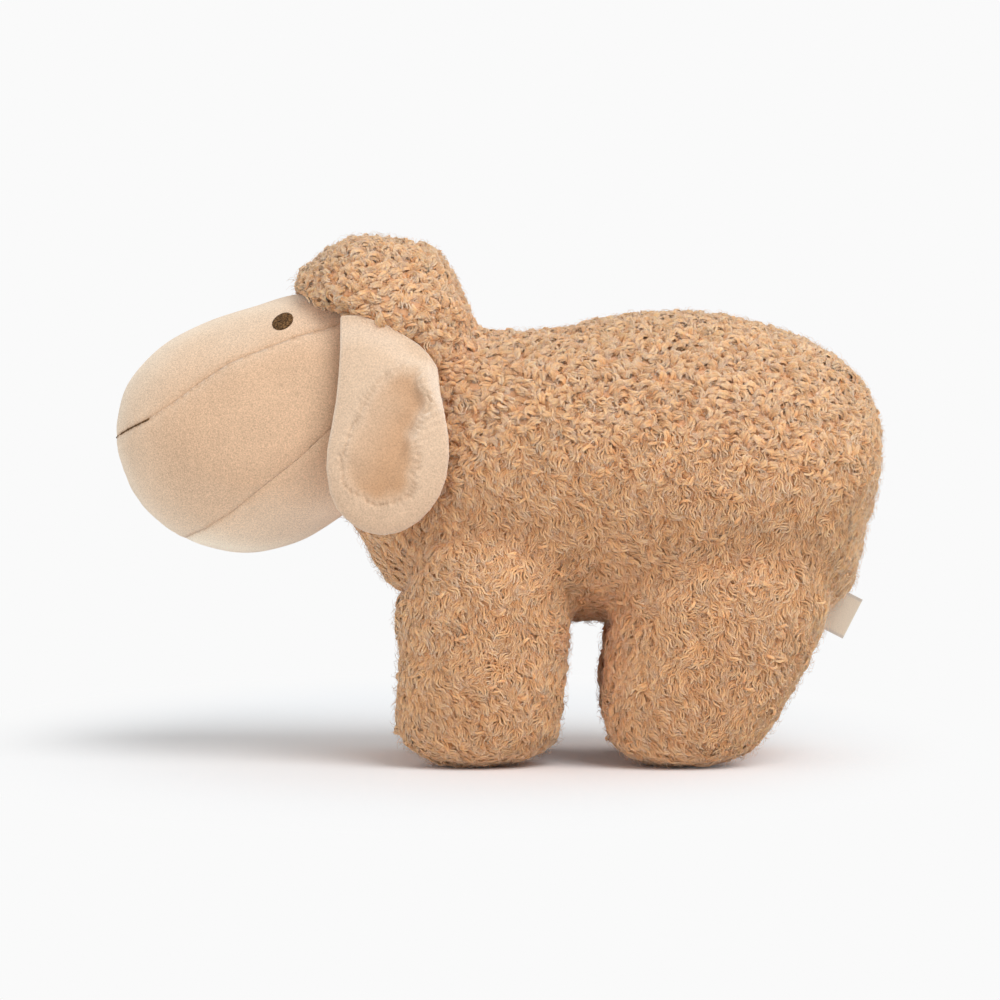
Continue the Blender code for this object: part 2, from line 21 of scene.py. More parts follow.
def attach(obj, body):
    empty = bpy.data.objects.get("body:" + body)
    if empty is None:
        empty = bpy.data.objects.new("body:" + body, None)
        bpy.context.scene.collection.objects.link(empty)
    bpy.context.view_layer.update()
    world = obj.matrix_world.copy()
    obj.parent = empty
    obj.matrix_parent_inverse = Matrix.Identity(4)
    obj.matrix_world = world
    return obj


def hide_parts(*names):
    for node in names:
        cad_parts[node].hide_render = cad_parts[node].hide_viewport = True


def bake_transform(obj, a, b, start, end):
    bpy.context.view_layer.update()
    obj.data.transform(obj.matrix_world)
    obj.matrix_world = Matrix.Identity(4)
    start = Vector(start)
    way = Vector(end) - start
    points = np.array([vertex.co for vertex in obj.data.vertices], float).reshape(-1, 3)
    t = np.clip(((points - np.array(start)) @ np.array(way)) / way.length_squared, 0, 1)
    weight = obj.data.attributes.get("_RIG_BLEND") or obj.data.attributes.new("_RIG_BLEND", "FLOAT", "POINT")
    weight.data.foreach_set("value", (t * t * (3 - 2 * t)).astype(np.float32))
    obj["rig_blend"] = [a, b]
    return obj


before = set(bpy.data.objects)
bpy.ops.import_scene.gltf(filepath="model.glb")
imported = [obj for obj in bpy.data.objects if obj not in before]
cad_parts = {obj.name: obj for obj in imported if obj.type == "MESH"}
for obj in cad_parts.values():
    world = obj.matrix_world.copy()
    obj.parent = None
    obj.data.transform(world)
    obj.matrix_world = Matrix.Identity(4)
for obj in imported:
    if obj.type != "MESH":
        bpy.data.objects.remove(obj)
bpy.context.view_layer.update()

MM = 0.001
BAKE_MAP = "OFBake"
SLIVER = 0.03 * MM
SIDES = {"left": -1, "right": 1}
# where the label is sewn into the rump, and how far it leans back
LABEL_ROOT = (131.9 * MM, 0.0, 60.8 * MM)
LABEL_PITCH = math.radians(27)
log = logging.getLogger("plush_sheep")

Point = tuple[float, float, float]
Colour = tuple[int, int, int]
# a socket to join, or a plain value
Input = bpy.types.NodeSocket | float


def linear(colour: Colour) -> tuple[float, float, float, float]:
    """Linear colour of an 8-bit display colour, by the curved part of the sRGB scale.

    Args:
        colour: Red, green and blue from 0 to 255.

    Returns:
        Red, green, blue and an alpha of 1.
    """
    parts = [((part / 255 + 0.055) / 1.055) ** 2.4 for part in colour]
    return (*parts, 1.0)


def ease(values: np.ndarray, low: float, high: float) -> np.ndarray:
    """Smooth step from 0 at low to 1 at high.

    Args:
        values: Where to read the step.
        low: Value at which the step starts.
        high: Value at which it ends.

    Returns:
        The step's values.
    """
    share = np.clip((values - low) / (high - low), 0, 1)
    return share * share * (3 - 2 * share)


def unit(vectors: np.ndarray) -> np.ndarray:
    """Vectors along the last axis, at length 1."""
    return vectors / np.maximum(np.linalg.norm(vectors, axis=-1, keepdims=True), 1e-9)


def dots(first: np.ndarray, second: np.ndarray) -> np.ndarray:
    """Dot products along the last axis, which is kept."""
    return (first * second).sum(-1, keepdims=True)


def bell(distances: np.ndarray, reach: float) -> np.ndarray:
    """Bell curve: 1 at no distance, and 1/e at the reach."""
    return np.exp(-(distances / reach) ** 2)


def vectors_of(mesh: bpy.types.Mesh, name: str) -> np.ndarray:
    """One vector of each mesh point, such as its place or its normal.

    Args:
        mesh: The mesh.
        name: Blender's name of the vector.

    Returns:
        The vectors, one a row.
    """
    values = np.empty(len(mesh.vertices) * 3, np.float32)
    mesh.vertices.foreach_get(name, values)
    return values.reshape(-1, 3).astype(float)


def point_tree(places: Iterable[Sequence[float]]) -> KDTree:
    """Search tree over places, which numbers them in their order.

    Args:
        places: The places.

    Returns:
        The tree.
    """
    places = list(places)
    tree = KDTree(len(places))
    for index, place in enumerate(places):
        tree.insert(place, index)
    tree.balance()
    return tree


def add_object(name: str, data: bpy.types.ID) -> bpy.types.Object:
    """Add an object to the scene.

    Args:
        name: Name of the object.
        data: Its mesh, camera or lamp.

    Returns:
        The linked object.
    """
    thing = bpy.data.objects.new(name, data)
    bpy.context.scene.collection.objects.link(thing)
    return thing


@dataclass(frozen=True)
class WaveNoise:
    """Smooth noise in space: a sum of plane waves in fixed random directions."""

    wavelength: float
    seed: int
    waves: int = 14

    def at(self, points: np.ndarray) -> np.ndarray:
        """Noise at points, with a mean of 0 and a spread of about 1.

        Args:
            points: Places, one a row.

        Returns:
            One value for each place.
        """
        draw = np.random.default_rng(self.seed)
        ways = unit(draw.normal(size=(self.waves, 3)))
        pitch = 2 * np.pi / self.wavelength * draw.uniform(0.6, 1.5, self.waves)
        phase = draw.uniform(0, 2 * np.pi, self.waves)
        return np.sin(points @ (ways * pitch[:, None]).T + phase).sum(1) / math.sqrt(self.waves / 2)

    def vectors(self, points: np.ndarray) -> np.ndarray:
        """Noise vectors at points.

        Args:
            points: Places, one a row.

        Returns:
            One vector for each place.
        """
        parts = [WaveNoise(self.wavelength, self.seed + shift).at(points) for shift in (0, 101, 202)]
        return np.stack(parts, 1)


@dataclass
class Surface:
    """Triangles in space, with a normal at each corner point."""

    points: np.ndarray
    triangles: np.ndarray
    normals: np.ndarray

    @classmethod
    def of(cls, thing: bpy.types.Object) -> "Surface":
        """Read an object's own mesh, as its modifiers leave it.

        Args:
            thing: Mesh object at the origin.

        Returns:
            Its surface.
        """
        bpy.context.view_layer.update()
        graph = bpy.context.evaluated_depsgraph_get()
        mesh = bpy.data.meshes.new_from_object(thing.evaluated_get(graph))
        points, normals = vectors_of(mesh, "co"), vectors_of(mesh, "normal")
        mesh.calc_loop_triangles()
        corners = np.empty(len(mesh.loop_triangles) * 3, np.int32)
        mesh.loop_triangles.foreach_get("vertices", corners)
        bpy.data.meshes.remove(mesh)
        return cls(points, corners.reshape(-1, 3), normals)

    def tree(self) -> BVHTree:
        """Search tree over the triangles."""
        return BVHTree.FromPolygons(self.points.tolist(), self.triangles.tolist())

    def scatter(self, density: Callable[[np.ndarray, np.ndarray], np.ndarray],
                draw: np.random.Generator) -> tuple[np.ndarray, np.ndarray]:
        """Even spread of places over the surface.

        Args:
            density: Gives places a square metre from triangle middles and normals.
            draw: Source of random numbers.

        Returns:
            Places and normals, one a row.
        """
        corners = self.points[self.triangles]
        face_normals = np.cross(corners[:, 1] - corners[:, 0], corners[:, 2] - corners[:, 0]) / 2
        area = np.linalg.norm(face_normals, axis=1)
        share = np.cumsum(area * density(corners.mean(1), unit(face_normals)))
        count = int(share[-1])
        picks = (np.arange(count) + draw.uniform(0.1, 0.9, count)) / count * share[-1]
        face = np.minimum(np.searchsorted(share, picks), len(share) - 1)
        spots = draw.uniform(0, 1, (2, count))
        spots = np.where(spots.sum(0) > 1, 1 - spots, spots)
        weights = np.stack([1 - spots.sum(0), spots[0], spots[1]], 1)[:, :, None]
        places = (corners[face] * weights).sum(1)
        return places, unit((self.normals[self.triangles[face]] * weights).sum(1))


def spread_out(places: np.ndarray, normals: np.ndarray, reach: float) -> np.ndarray:
    """Push places on a surface away from their nearest neighbours.

    Args:
        places: Places, one a row.
        normals: Surface normals there.
        reach: Distance within which two places push each other.

    Returns:
        The moved places.
    """
    neighbours, share = 5, 0.45
    tree = point_tree(places)
    push = np.zeros_like(places)
    for index, place in enumerate(places):
        for near, other, distance in tree.find_n(place, neighbours):
            if other != index and distance < reach:
                push[index] += (place - np.array(near)) / (distance + 1e-6) * (reach - distance)
    push -= dots(push, normals) * normals
    return places + share * push


def mesh_object(name: str, points: np.ndarray, faces: Sequence[np.ndarray],
                smooth: bool = True) -> bpy.types.Object:
    """Make a mesh object from arrays.

    Args:
        name: Name of the object.
        points: Corner points, one a row.
        faces: Arrays of faces, each with one number of corners.
        smooth: Whether the faces are shaded smooth.

    Returns:
        The linked object.
    """
    faces = [part for part in faces if len(part)]
    mesh = bpy.data.meshes.new(name)
    mesh.vertices.add(len(points))
    mesh.vertices.foreach_set("co", np.ascontiguousarray(points, np.float32).ravel())
    sizes = np.concatenate([np.full(len(part), part.shape[1]) for part in faces])
    mesh.loops.add(int(sizes.sum()))
    mesh.loops.foreach_set("vertex_index", np.concatenate([part.ravel() for part in faces]).astype(np.int32))
    mesh.polygons.add(len(sizes))
    mesh.polygons.foreach_set("loop_start", (np.cumsum(sizes) - sizes).astype(np.int32))
    mesh.polygons.foreach_set("loop_total", sizes.astype(np.int32))
    mesh.polygons.foreach_set("use_smooth", np.full(len(sizes), smooth))
    mesh.update(calc_edges=True)
    return add_object(name, mesh)


def store(thing: bpy.types.Object, name: str, values: np.ndarray) -> None:
    """Keep one number for each mesh point, which the material reads.

    Args:
        thing: Mesh object.
        name: Name of the attribute.
        values: One value for each point.
    """
    layer = thing.data.attributes.new(name, "FLOAT", "POINT")
    layer.data.foreach_set("value", np.ascontiguousarray(values, np.float32).ravel())


def soften(thing: bpy.types.Object, lie: np.ndarray, share: float) -> None:
    """Turn the shading of fine strands towards the fabric that they stand on.

    Args:
        thing: Mesh object.
        lie: Normal of the fabric, one for each point.
        share: How far the normals turn, from 0 to 1.
    """
    turned = (1 - share) * vectors_of(thing.data, "normal") + share * lie
    thing.data.normals_split_custom_set_from_vertices(unit(turned))


def settle(piece: bpy.types.Object) -> bpy.types.Object:
    """Apply every modifier of a piece.

    Args:
        piece: Mesh object.

    Returns:
        The same object with its final mesh.
    """
    bpy.context.view_layer.update()
    graph = bpy.context.evaluated_depsgraph_get()
    mesh = bpy.data.meshes.new_from_object(piece.evaluated_get(graph))
    piece.modifiers.clear()
    old = piece.data
    piece.data = mesh
    bpy.data.meshes.remove(old)
    return piece


def remesh(piece: bpy.types.Object, size: float) -> None:
    """Close a mesh and give it even faces.

    Args:
        piece: Mesh object.
        size: Size of the faces.
    """
    modifier = piece.modifiers.new("remesh", "REMESH")
    modifier.mode = "VOXEL"
    modifier.voxel_size = size
    settle(piece)


def smooth_out(piece: bpy.types.Object, rounds: int) -> None:
    """Smooth a mesh.

    Args:
        piece: Mesh object.
        rounds: Rounds of smoothing.
    """
    modifier = piece.modifiers.new("smooth", "SMOOTH")
    modifier.factor = 0.5
    modifier.iterations = rounds
    settle(piece)


def face_outwards(piece: bpy.types.Object) -> None:
    """Turn every face of a closed mesh outwards.

    Args:
        piece: Mesh object.
    """
    shell = bmesh.new()
    shell.from_mesh(piece.data)
    bmesh.ops.recalc_face_normals(shell, faces=shell.faces)
    shell.to_mesh(piece.data)
    shell.free()


def tubes(paths: np.ndarray, radii: np.ndarray, across: np.ndarray, sides: int
          ) -> tuple[np.ndarray, list[np.ndarray]]:
    """Closed tubes along paths, all with the same number of rings.

    Args:
        paths: Ring middles, as tube, ring, place.
        radii: Radius of each ring, as tube, ring.
        across: A direction roughly square to each path, one a tube.
        sides: Sides of every tube.

    Returns:
        Corner points, and arrays of side faces and end faces.
    """
    count, rings, _ = paths.shape
    along = unit(np.gradient(paths, axis=1))
    side = unit(across[:, None, :] - dots(along, across[:, None, :]) * along)
    third = np.cross(along, side)
    turn = 2 * np.pi * np.arange(sides) / sides
    ring = np.cos(turn)[:, None] * side[:, :, None, :] + np.sin(turn)[:, None] * third[:, :, None, :]
    points = (paths[:, :, None, :] + radii[:, :, None, None] * ring).reshape(-1, 3)
    index = np.arange(count * rings * sides).reshape(count, rings, sides)
    ahead = np.roll(index, -1, axis=2)
    walls = np.stack([index[:, :-1], ahead[:, :-1], ahead[:, 1:], index[:, 1:]], -1).reshape(-1, 4)
    ends = np.concatenate([index[:, 0, ::-1], index[:, -1]])
    return points, [walls, ends]


def bake_grid(thing: bpy.types.Object, count: int, rings: int, sides: int) -> None:
    """Give each of many equal tubes its own cell of a UV map.

    Args:
        thing: Object made from tubes, walls first and ends after them.
        count: Number of tubes.
        rings: Rings of each tube.
        sides: Sides of each tube.
    """
    columns = math.ceil(math.sqrt(count * sides / (rings + 1)))
    rows = math.ceil(count / columns)
    margin = 0.12
    cell = np.arange(count)
    left, low = cell % columns, cell // columns
    span = 1 - 2 * margin
    across = margin + span * np.arange(sides + 1) / sides
    up = margin + span * np.arange(rings) / (rings - 1)
    u = (left[:, None] + across) / columns
    v = (low[:, None] + up) / rows
    start_u, next_u, low_v, high_v = np.broadcast_arrays(u[:, None, :-1], u[:, None, 1:],
                                                         v[:, :-1, None], v[:, 1:, None])
    walls = np.stack([start_u, low_v, next_u, low_v, next_u, high_v, start_u, high_v], -1)
    turn = 2 * np.pi * np.arange(sides) / sides
    size = margin / 3
    places = []
    for level, order in ((margin / 2, -1), (1 - margin / 2, 1)):
        end_u = (left[:, None] + 0.5 + size * np.cos(turn)[::order]) / columns
        end_v = (low[:, None] + level + size * np.sin(turn)[::order]) / rows
        places.append(np.stack([end_u, end_v], -1).ravel())
    uv = np.concatenate([walls.ravel(), *places])
    layer = thing.data.uv_layers.new(name=BAKE_MAP)
    layer.uv.foreach_set("vector", uv.astype(np.float32))


class NodePlan:
    """Adds and joins shader nodes in a material or a group."""

    def __init__(self, tree: bpy.types.NodeTree) -> None:
        """Work on a node tree.

        Args:
            tree: Tree of a material or a node group.
        """
        self.tree = tree

    def add(self, kind: str, inputs: dict | None = None, **settings) -> bpy.types.Node:
        """Add a node.

        Args:
            kind: Blender's type name without its ShaderNode prefix.
            inputs: Socket names with a value, or with a socket to join.
            settings: Properties of the node.

        Returns:
            The new node.
        """
        node = self.tree.nodes.new("ShaderNode" + kind)
        for key, value in settings.items():
            setattr(node, key, value)
        self.feed(node, inputs or {})
        return node

    def feed(self, node: bpy.types.Node, inputs: dict) -> None:
        """Give a node's sockets their values.

        Args:
            node: The node.
            inputs: Socket names with a value, or with a socket to join.
        """
        for key, value in inputs.items():
            if isinstance(value, bpy.types.NodeSocket):
                self.tree.links.new(value, node.inputs[key])
            else:
                node.inputs[key].default_value = value

    def math(self, operation: str, first: Input, second: Input = 0.0) -> bpy.types.NodeSocket:
        """Add a sum on two values.

        Args:
            operation: Name of the sum.
            first: Value or socket.
            second: Value or socket.

        Returns:
            The result's socket.
        """
        return self.add("Math", {0: first, 1: second}, operation=operation).outputs[0]

    def tint(self, colour: Input | tuple, shade: Input) -> bpy.types.NodeSocket:
        """Multiply a colour by a grey value.

        Args:
            colour: Colour or socket.
            shade: Value or socket.

        Returns:
            The result's socket.
        """
        scale = self.add("VectorMath", {0: colour, "Scale": shade}, operation="SCALE")
        return scale.outputs["Vector"]

    def ramp(self, factor: bpy.types.NodeSocket, stops: Sequence[tuple[float, Colour]]
             ) -> bpy.types.NodeSocket:
        """Add a colour ramp.

        Args:
            factor: Where on the ramp to read.
            stops: Places from 0 to 1 with display colours.

        Returns:
            The colour's socket.
        """
        node = self.add("ValToRGB", {"Fac": factor})
        parts = node.color_ramp.elements
        while len(parts) < len(stops):
            parts.new(0.5)
        for part, (place, colour) in zip(parts, stops):
            part.position = place
            part.color = linear(colour)
        return node.outputs["Color"]

    def shown(self) -> bpy.types.NodeSocket:
        """Add a switch for what is seen itself, in a gloss or through glass.

        Returns:
            Its socket: 1 where it is seen and 0 where it only gives light.
        """
        path = self.add("LightPath").outputs
        direct = self.math("MAXIMUM", path["Is Camera Ray"], path["Is Glossy Ray"])
        return self.math("MAXIMUM", direct, path["Is Transmission Ray"])


class SharedEffects:
    """Node groups that several finishes use."""

    def __init__(self) -> None:
        """Build every group once."""
        self.pile = self._pile()
        self.twist = self._twist()

    @staticmethod
    def _open(name: str, inputs: dict[str, float]) -> tuple[NodePlan, bpy.types.bpy_prop_collection]:
        """Start a group that puts out a shade and a height.

        Args:
            name: Name of the group.
            inputs: Value inputs with their defaults.

        Returns:
            Plan of the group's tree, and the sockets of its inputs.
        """
        tree = bpy.data.node_groups.new(name, "ShaderNodeTree")
        for key, value in inputs.items():
            tree.interface.new_socket(key, in_out="INPUT", socket_type="NodeSocketFloat").default_value = value
        for key in ("Shade", "Height"):
            tree.interface.new_socket(key, in_out="OUTPUT", socket_type="NodeSocketFloat")
        return NodePlan(tree), tree.nodes.new("NodeGroupInput").outputs

    @staticmethod
    def _close(plan: NodePlan, value: bpy.types.NodeSocket, middle: float, contrast: bpy.types.NodeSocket,
               height: bpy.types.NodeSocket) -> bpy.types.NodeTree:
        """Put out a shade that varies about 1, and a height.

        Args:
            plan: Plan of the group.
            value: What the shade follows.
            middle: The value at which the shade is 1.
            contrast: How strongly the shade follows.
            height: The height.

        Returns:
            The group.
        """
        centred = plan.math("SUBTRACT", value, middle)
        shade = plan.math("ADD", plan.math("MULTIPLY", centred, contrast), 1.0)
        plan.feed(plan.tree.nodes.new("NodeGroupOutput"), {"Shade": shade, "Height": height})
        return plan.tree

    def _pile(self) -> bpy.types.NodeTree:
        """Short pile: a fine grain on soft drifts of lighter and darker nap.

        Returns:
            The group.
        """
        plan, start = self._open("short_pile", {"Grain": 900.0, "Drift": 60.0, "Contrast": 0.1})
        place = plan.add("TexCoord").outputs["Object"]
        grain = plan.add("TexNoise", {"Vector": place, "Scale": start["Grain"], "Detail": 2.0, "Roughness": 0.6})
        drift = plan.add("TexNoise", {"Vector": place, "Scale": start["Drift"], "Detail": 3.0, "Roughness": 0.55})
        fine, broad = 1.3, 0.25
        both = plan.math("ADD", plan.math("MULTIPLY", grain.outputs[0], fine),
                         plan.math("MULTIPLY", drift.outputs[0], broad))
        return self._close(plan, both, (fine + broad) / 2, start["Contrast"], grain.outputs[0])

    def _twist(self) -> bpy.types.NodeTree:
        """Fine filaments that lie along a thread, a lock or a tape.

        Returns:
            The group.
        """
        plan, start = self._open("filaments", {"Size": 2500.0, "Contrast": 0.3})
        place = plan.add("TexCoord").outputs["Object"]
        hairs = plan.add("TexNoise", {"Vector": place, "Scale": start["Size"], "Detail": 1.0})
        return self._close(plan, hairs.outputs[0], 0.5, start["Contrast"], hairs.outputs[0])


def start_material(name: str) -> tuple[bpy.types.Material, NodePlan, bpy.types.Node]:
    """Start a material.

    Args:
        name: Name of the material.

    Returns:
        The material, the plan of its nodes and its shader.
    """
    material = bpy.data.materials.new(name)
    material.use_nodes = True
    return material, NodePlan(material.node_tree), material.node_tree.nodes["Principled BSDF"]


@dataclass(frozen=True)
class PileFinish:
    """Short-pile or felted fabric in one colour, with grain, drift and sheen; the velours also get painted shade and
    a painted sheen.
    """

    name: str
    colour: Colour
    grain: float = 900.0
    drift: float = 60.0
    contrast: float = 0.16
    bump: float = 0.25
    bump_depth: float = 0.25 * MM
    roughness: float = 0.9
    sheen: float = 0.35
    sheen_tint: Colour = (255, 255, 255)
    # colour of the painted shade, and of the painted sheen where the surface is seen at a slant
    painted_shade: Colour | None = None
    painted_sheen: Colour | None = None

    def material(self, effects: SharedEffects) -> bpy.types.Material:
        """Build the material.

        Args:
            effects: Shared node groups.

        Returns:
            The material.
        """
        material, plan, shader = start_material(self.name)
        ground = self._nap_with_painted_light(plan) if self.painted_shade and self.painted_sheen else linear(self.colour)[:3]
        pile = plan.add("Group", {"Grain": self.grain, "Drift": self.drift, "Contrast": self.contrast},
                        node_tree=effects.pile)
        bump = plan.add("Bump", {"Strength": self.bump, "Distance": self.bump_depth,
                                 "Height": pile.outputs["Height"]})
        plan.feed(shader, {
            "Base Color": plan.tint(ground, pile.outputs["Shade"]), "Normal": bump.outputs[0],
            "Roughness": self.roughness, "Specular IOR Level": 0.2, "Sheen Weight": self.sheen,
            "Sheen Roughness": 0.35, "Sheen Tint": linear(self.sheen_tint),
        })
        return material

    def _nap_with_painted_light(self, plan: NodePlan) -> bpy.types.NodeSocket:
        """Colour of the nap: painted shade where the depth attribute asks for it, and a painted sheen at a slant.

        Args:
            plan: Plan of the material.

        Returns:
            The colour.
        """
        depth = plan.add("Attribute", attribute_name="depth").outputs["Fac"]
        painted_shade_colour = plan.ramp(depth, ((0.0, self.colour), (1.0, self.painted_shade)))
        # painted sheen: paler the more the surface is seen edge-on, and weaker where the painted shade is strong
        slant = plan.add("LayerWeight", {"Blend": 0.5}).outputs["Facing"]
        share = plan.add("MapRange", {"Value": slant, "From Min": 0.1, "From Max": 0.75}).outputs[0]
        flat = plan.add("MapRange", {"Value": depth, "From Max": 0.35, "To Min": 1.0, "To Max": 0.0}).outputs[0]
        mix = plan.add("MixRGB", {"Fac": plan.math("MULTIPLY", share, flat), "Color1": painted_shade_colour,
                                  "Color2": linear(self.painted_sheen)})
        return mix.outputs[0]


@dataclass(frozen=True)
class FleeceFinish:
    """Curly fleece: painted shade darkens each strand towards its root, among the locks, and it is paler towards its
    tip.
    """

    name: str = "curly_fleece"
    root: Colour = (224, 142, 88)
    middle: Colour = (250, 183, 134)
    tip: Colour = (255, 215, 180)
    sheen: float = 0.3
    sheen_tint: Colour = (255, 236, 214)
    soft: float = 0.5
    soft_depth: float = 2.0 * MM

    def material(self, effects: SharedEffects) -> bpy.types.Material:
        """Build the material.

        Args:
            effects: Shared node groups.

        Returns:
            The material.
        """
        material, plan, shader = start_material(self.name)
        strand = plan.add("Attribute", attribute_name="strand").outputs["Fac"]
        shade = plan.add("Attribute", attribute_name="shade").outputs["Fac"]
        # painted shade: the colour darkens from the tip to the root, where shade falls inside the pile
        colour = plan.ramp(strand, ((0.0, self.root), (0.45, self.middle), (1.0, self.tip)))
        hairs = plan.add("Group", node_tree=effects.twist)
        both = plan.math("MULTIPLY", shade, hairs.outputs["Shade"])
        bump = plan.add("Bump", {"Strength": 0.5, "Distance": 0.2 * MM, "Height": hairs.outputs["Height"]})
        plan.feed(shader, {
            "Base Color": plan.tint(colour, both), "Normal": bump.outputs[0], "Roughness": 0.9,
            "Specular IOR Level": 0.15, "Sheen Weight": self.sheen, "Sheen Roughness": 0.4,
            "Sheen Tint": linear(self.sheen_tint), "Subsurface Weight": self.soft,
            "Subsurface Radius": (1.0, 0.7, 0.5), "Subsurface Scale": self.soft_depth,
        })
        return material


@dataclass(frozen=True)
class ThreadFinish:
    """Sewing or embroidery thread with fine filaments and a soft gloss."""

    name: str
    colour: Colour
    roughness: float = 0.5
    contrast: float = 0.7
    size: float = 3500.0

    def material(self, effects: SharedEffects) -> bpy.types.Material:
        """Build the material.

        Args:
            effects: Shared node groups.

        Returns:
            The material.
        """
        material, plan, shader = start_material(self.name)
        hairs = plan.add("Group", {"Size": self.size, "Contrast": self.contrast}, node_tree=effects.twist)
        bump = plan.add("Bump", {"Strength": 0.4, "Distance": 0.1 * MM, "Height": hairs.outputs["Height"]})
        plan.feed(shader, {
            "Base Color": plan.tint(linear(self.colour)[:3], hairs.outputs["Shade"]),
            "Normal": bump.outputs[0], "Roughness": self.roughness, "Specular IOR Level": 0.15,
        })
        return material


@dataclass(frozen=True)
class TapeFinish:
    """Close-woven tape: fine warp and weft, and a greyer selvage along both edges."""

    name: str = "woven_tape"
    colour: Colour = (228, 216, 196)
    selvage: Colour = (206, 198, 186)
    pitch: float = 0.42 * MM
    relief: float = 0.12

    def material(self, effects: SharedEffects) -> bpy.types.Material:
        """Build the material.

        Args:
            effects: Shared node groups.

        Returns:
            The material.
        """
        material, plan, shader = start_material(self.name)
        place = plan.add("SeparateXYZ", {0: plan.add("TexCoord").outputs["Object"]})
        waves = []
        for axis, shift in (("X", 0.0), ("Z", math.pi / 2)):
            turns = plan.math("MULTIPLY", place.outputs[axis], 2 * math.pi / self.pitch)
            waves.append(plan.math("SINE", plan.math("ADD", turns, shift)))
        weave = plan.math("MULTIPLY", waves[0], waves[1])
        hairs = plan.add("Group", node_tree=effects.twist)
        crossings = plan.math("ADD", plan.math("MULTIPLY", weave, self.relief), 0.95)
        shade = plan.math("MULTIPLY", crossings, hairs.outputs["Shade"])
        edge = plan.add("Attribute", attribute_name="selvage").outputs["Fac"]
        ground = plan.ramp(edge, ((0.0, self.colour), (1.0, self.selvage)))
        bump = plan.add("Bump", {"Strength": 0.5, "Distance": 0.15 * MM, "Height": weave})
        plan.feed(shader, {"Base Color": plan.tint(ground, shade), "Normal": bump.outputs[0], "Roughness": 0.75})
        return material


class Finishes:
    """Every finish of the sheep, built once."""

    def __init__(self) -> None:
        """Build the shared groups and the materials."""
        self.effects = SharedEffects()
        self.fleece = FleeceFinish().material(self.effects)
        self.backing = PileFinish("fleece_backing", (224, 172, 130), bump=0.4).material(self.effects)
        # the velours carry painted shade, from the depth attribute, and a painted sheen at a slant
        self.velour = PileFinish("face_velour", (216, 182, 151), grain=1700.0, contrast=0.85, bump=0.6,
                                 bump_depth=0.4 * MM, sheen=0.6, sheen_tint=(255, 240, 224),
                                 painted_shade=(176, 134, 100), painted_sheen=(252, 238, 216)).material(self.effects)
        self.ear_velour = PileFinish("ear_velour", (214, 186, 159), grain=1500.0, contrast=0.62, bump=0.6,
                                     bump_depth=0.4 * MM, sheen=0.6, sheen_tint=(255, 240, 224),
                                     painted_shade=(190, 148, 112), painted_sheen=(240, 226, 208)).material(self.effects)
        self.filling = PileFinish("fibre_filling", (236, 234, 228), grain=400.0, bump=0.8).material(self.effects)
        # the brown thread's strong filament contrast gives a fine grain and painted glints: light specks on the eye
        # and mouth stitches
        self.brown_thread = ThreadFinish("brown_thread", (100, 73, 45), 0.7, 4.2, 1500.0).material(self.effects)
        self.sewing_thread = ThreadFinish("sewing_thread", (196, 158, 122), 0.7).material(self.effects)
        self.tape = TapeFinish().material(self.effects)


class Body(Enum):
    """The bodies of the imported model."""

    SHEEP = "sheep"
    LEFT_EAR = "left_ear"
    RIGHT_EAR = "right_ear"
    LABEL = "label"


def dress(piece: bpy.types.Object, material: bpy.types.Material, body: Body | None,
          nodes: Iterable[str] = ()) -> bpy.types.Object:
    """Finish a piece: its material, slot, body and the solids that it stands for.

    Args:
        piece: The new object.
        material: Its material.
        body: The body that it rides on, or none for a piece that is blended later.
        nodes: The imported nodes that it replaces.

    Returns:
        The same object.
    """
    piece.data.materials.clear()
    piece.data.materials.append(material)
    if body:
        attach(piece, body.value)
    if nodes:
        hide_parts(*nodes)
    log.info("%-34s %7d faces", piece.name, len(piece.data.polygons))
    return piece


@dataclass(frozen=True)
class RingForm:
    """Soft form whose cage is a stack of rings, rounded by subdivision."""

    rings: tuple[tuple[np.ndarray, np.ndarray, np.ndarray], ...]
    sides: int

    @classmethod
    def lengthwise(cls, front_x: float, length: float, bottom_z: float, height: float, width: float,
                   shares: Sequence[Sequence[float]], sides: int) -> "RingForm":
        """Form along X from rows of (along, underside, top, width) shares.

        Args:
            front_x: Place of the front end.
            length: Length along X.
            bottom_z: Height of the underside.
            height: Height of the form.
            width: Width of the form.
            shares: The rows.
            sides: Sides of each ring.

        Returns:
            The form.
        """
        rings = []
        for along, under, top, wide in shares:
            centre = np.array([front_x + along * length, 0, bottom_z + (under + top) / 2 * height])
            up = np.array([0, 0, (top - under) / 2 * height])
            rings.append((centre, np.array([0, wide * width / 2, 0]), up))
        return cls(tuple(rings), sides)

    def build(self, name: str, levels: int) -> bpy.types.Object:
        """Make the rounded form as an object.

        Args:
            name: Name of the object.
            levels: Levels of subdivision.

        Returns:
            The object, with its subdivision applied.
        """
        # the rounding draws a ring in, so its corners start further out by as much
        swell = 4 / (3 + math.cos(2 * math.pi / self.sides))
        turn = 2 * np.pi * np.arange(self.sides) / self.sides
        points = [self.rings[0][0][None]]
        for centre, across, up in self.rings[1:-1]:
            ring = np.cos(turn)[:, None] * across + np.sin(turn)[:, None] * up
            points.append(centre + swell * ring)
        points.append(self.rings[-1][0][None])
        points = np.concatenate(points)
        rows = len(self.rings) - 2
        index = 1 + np.arange(rows * self.sides).reshape(rows, self.sides)
        ahead = np.roll(index, -1, axis=1)
        walls = np.stack([index[:-1], ahead[:-1], ahead[1:], index[1:]], -1).reshape(-1, 4)
        first = np.stack([np.zeros(self.sides, int), ahead[0], index[0]], -1)
        last = np.stack([np.full(self.sides, len(points) - 1), index[-1], ahead[-1]], -1)
        form = mesh_object(name, points, [walls, np.concatenate([first, last])])
        face_outwards(form)
        modifier = form.modifiers.new("rounding", "SUBSURF")
        modifier.levels = levels
        modifier.render_levels = levels
        return settle(form)


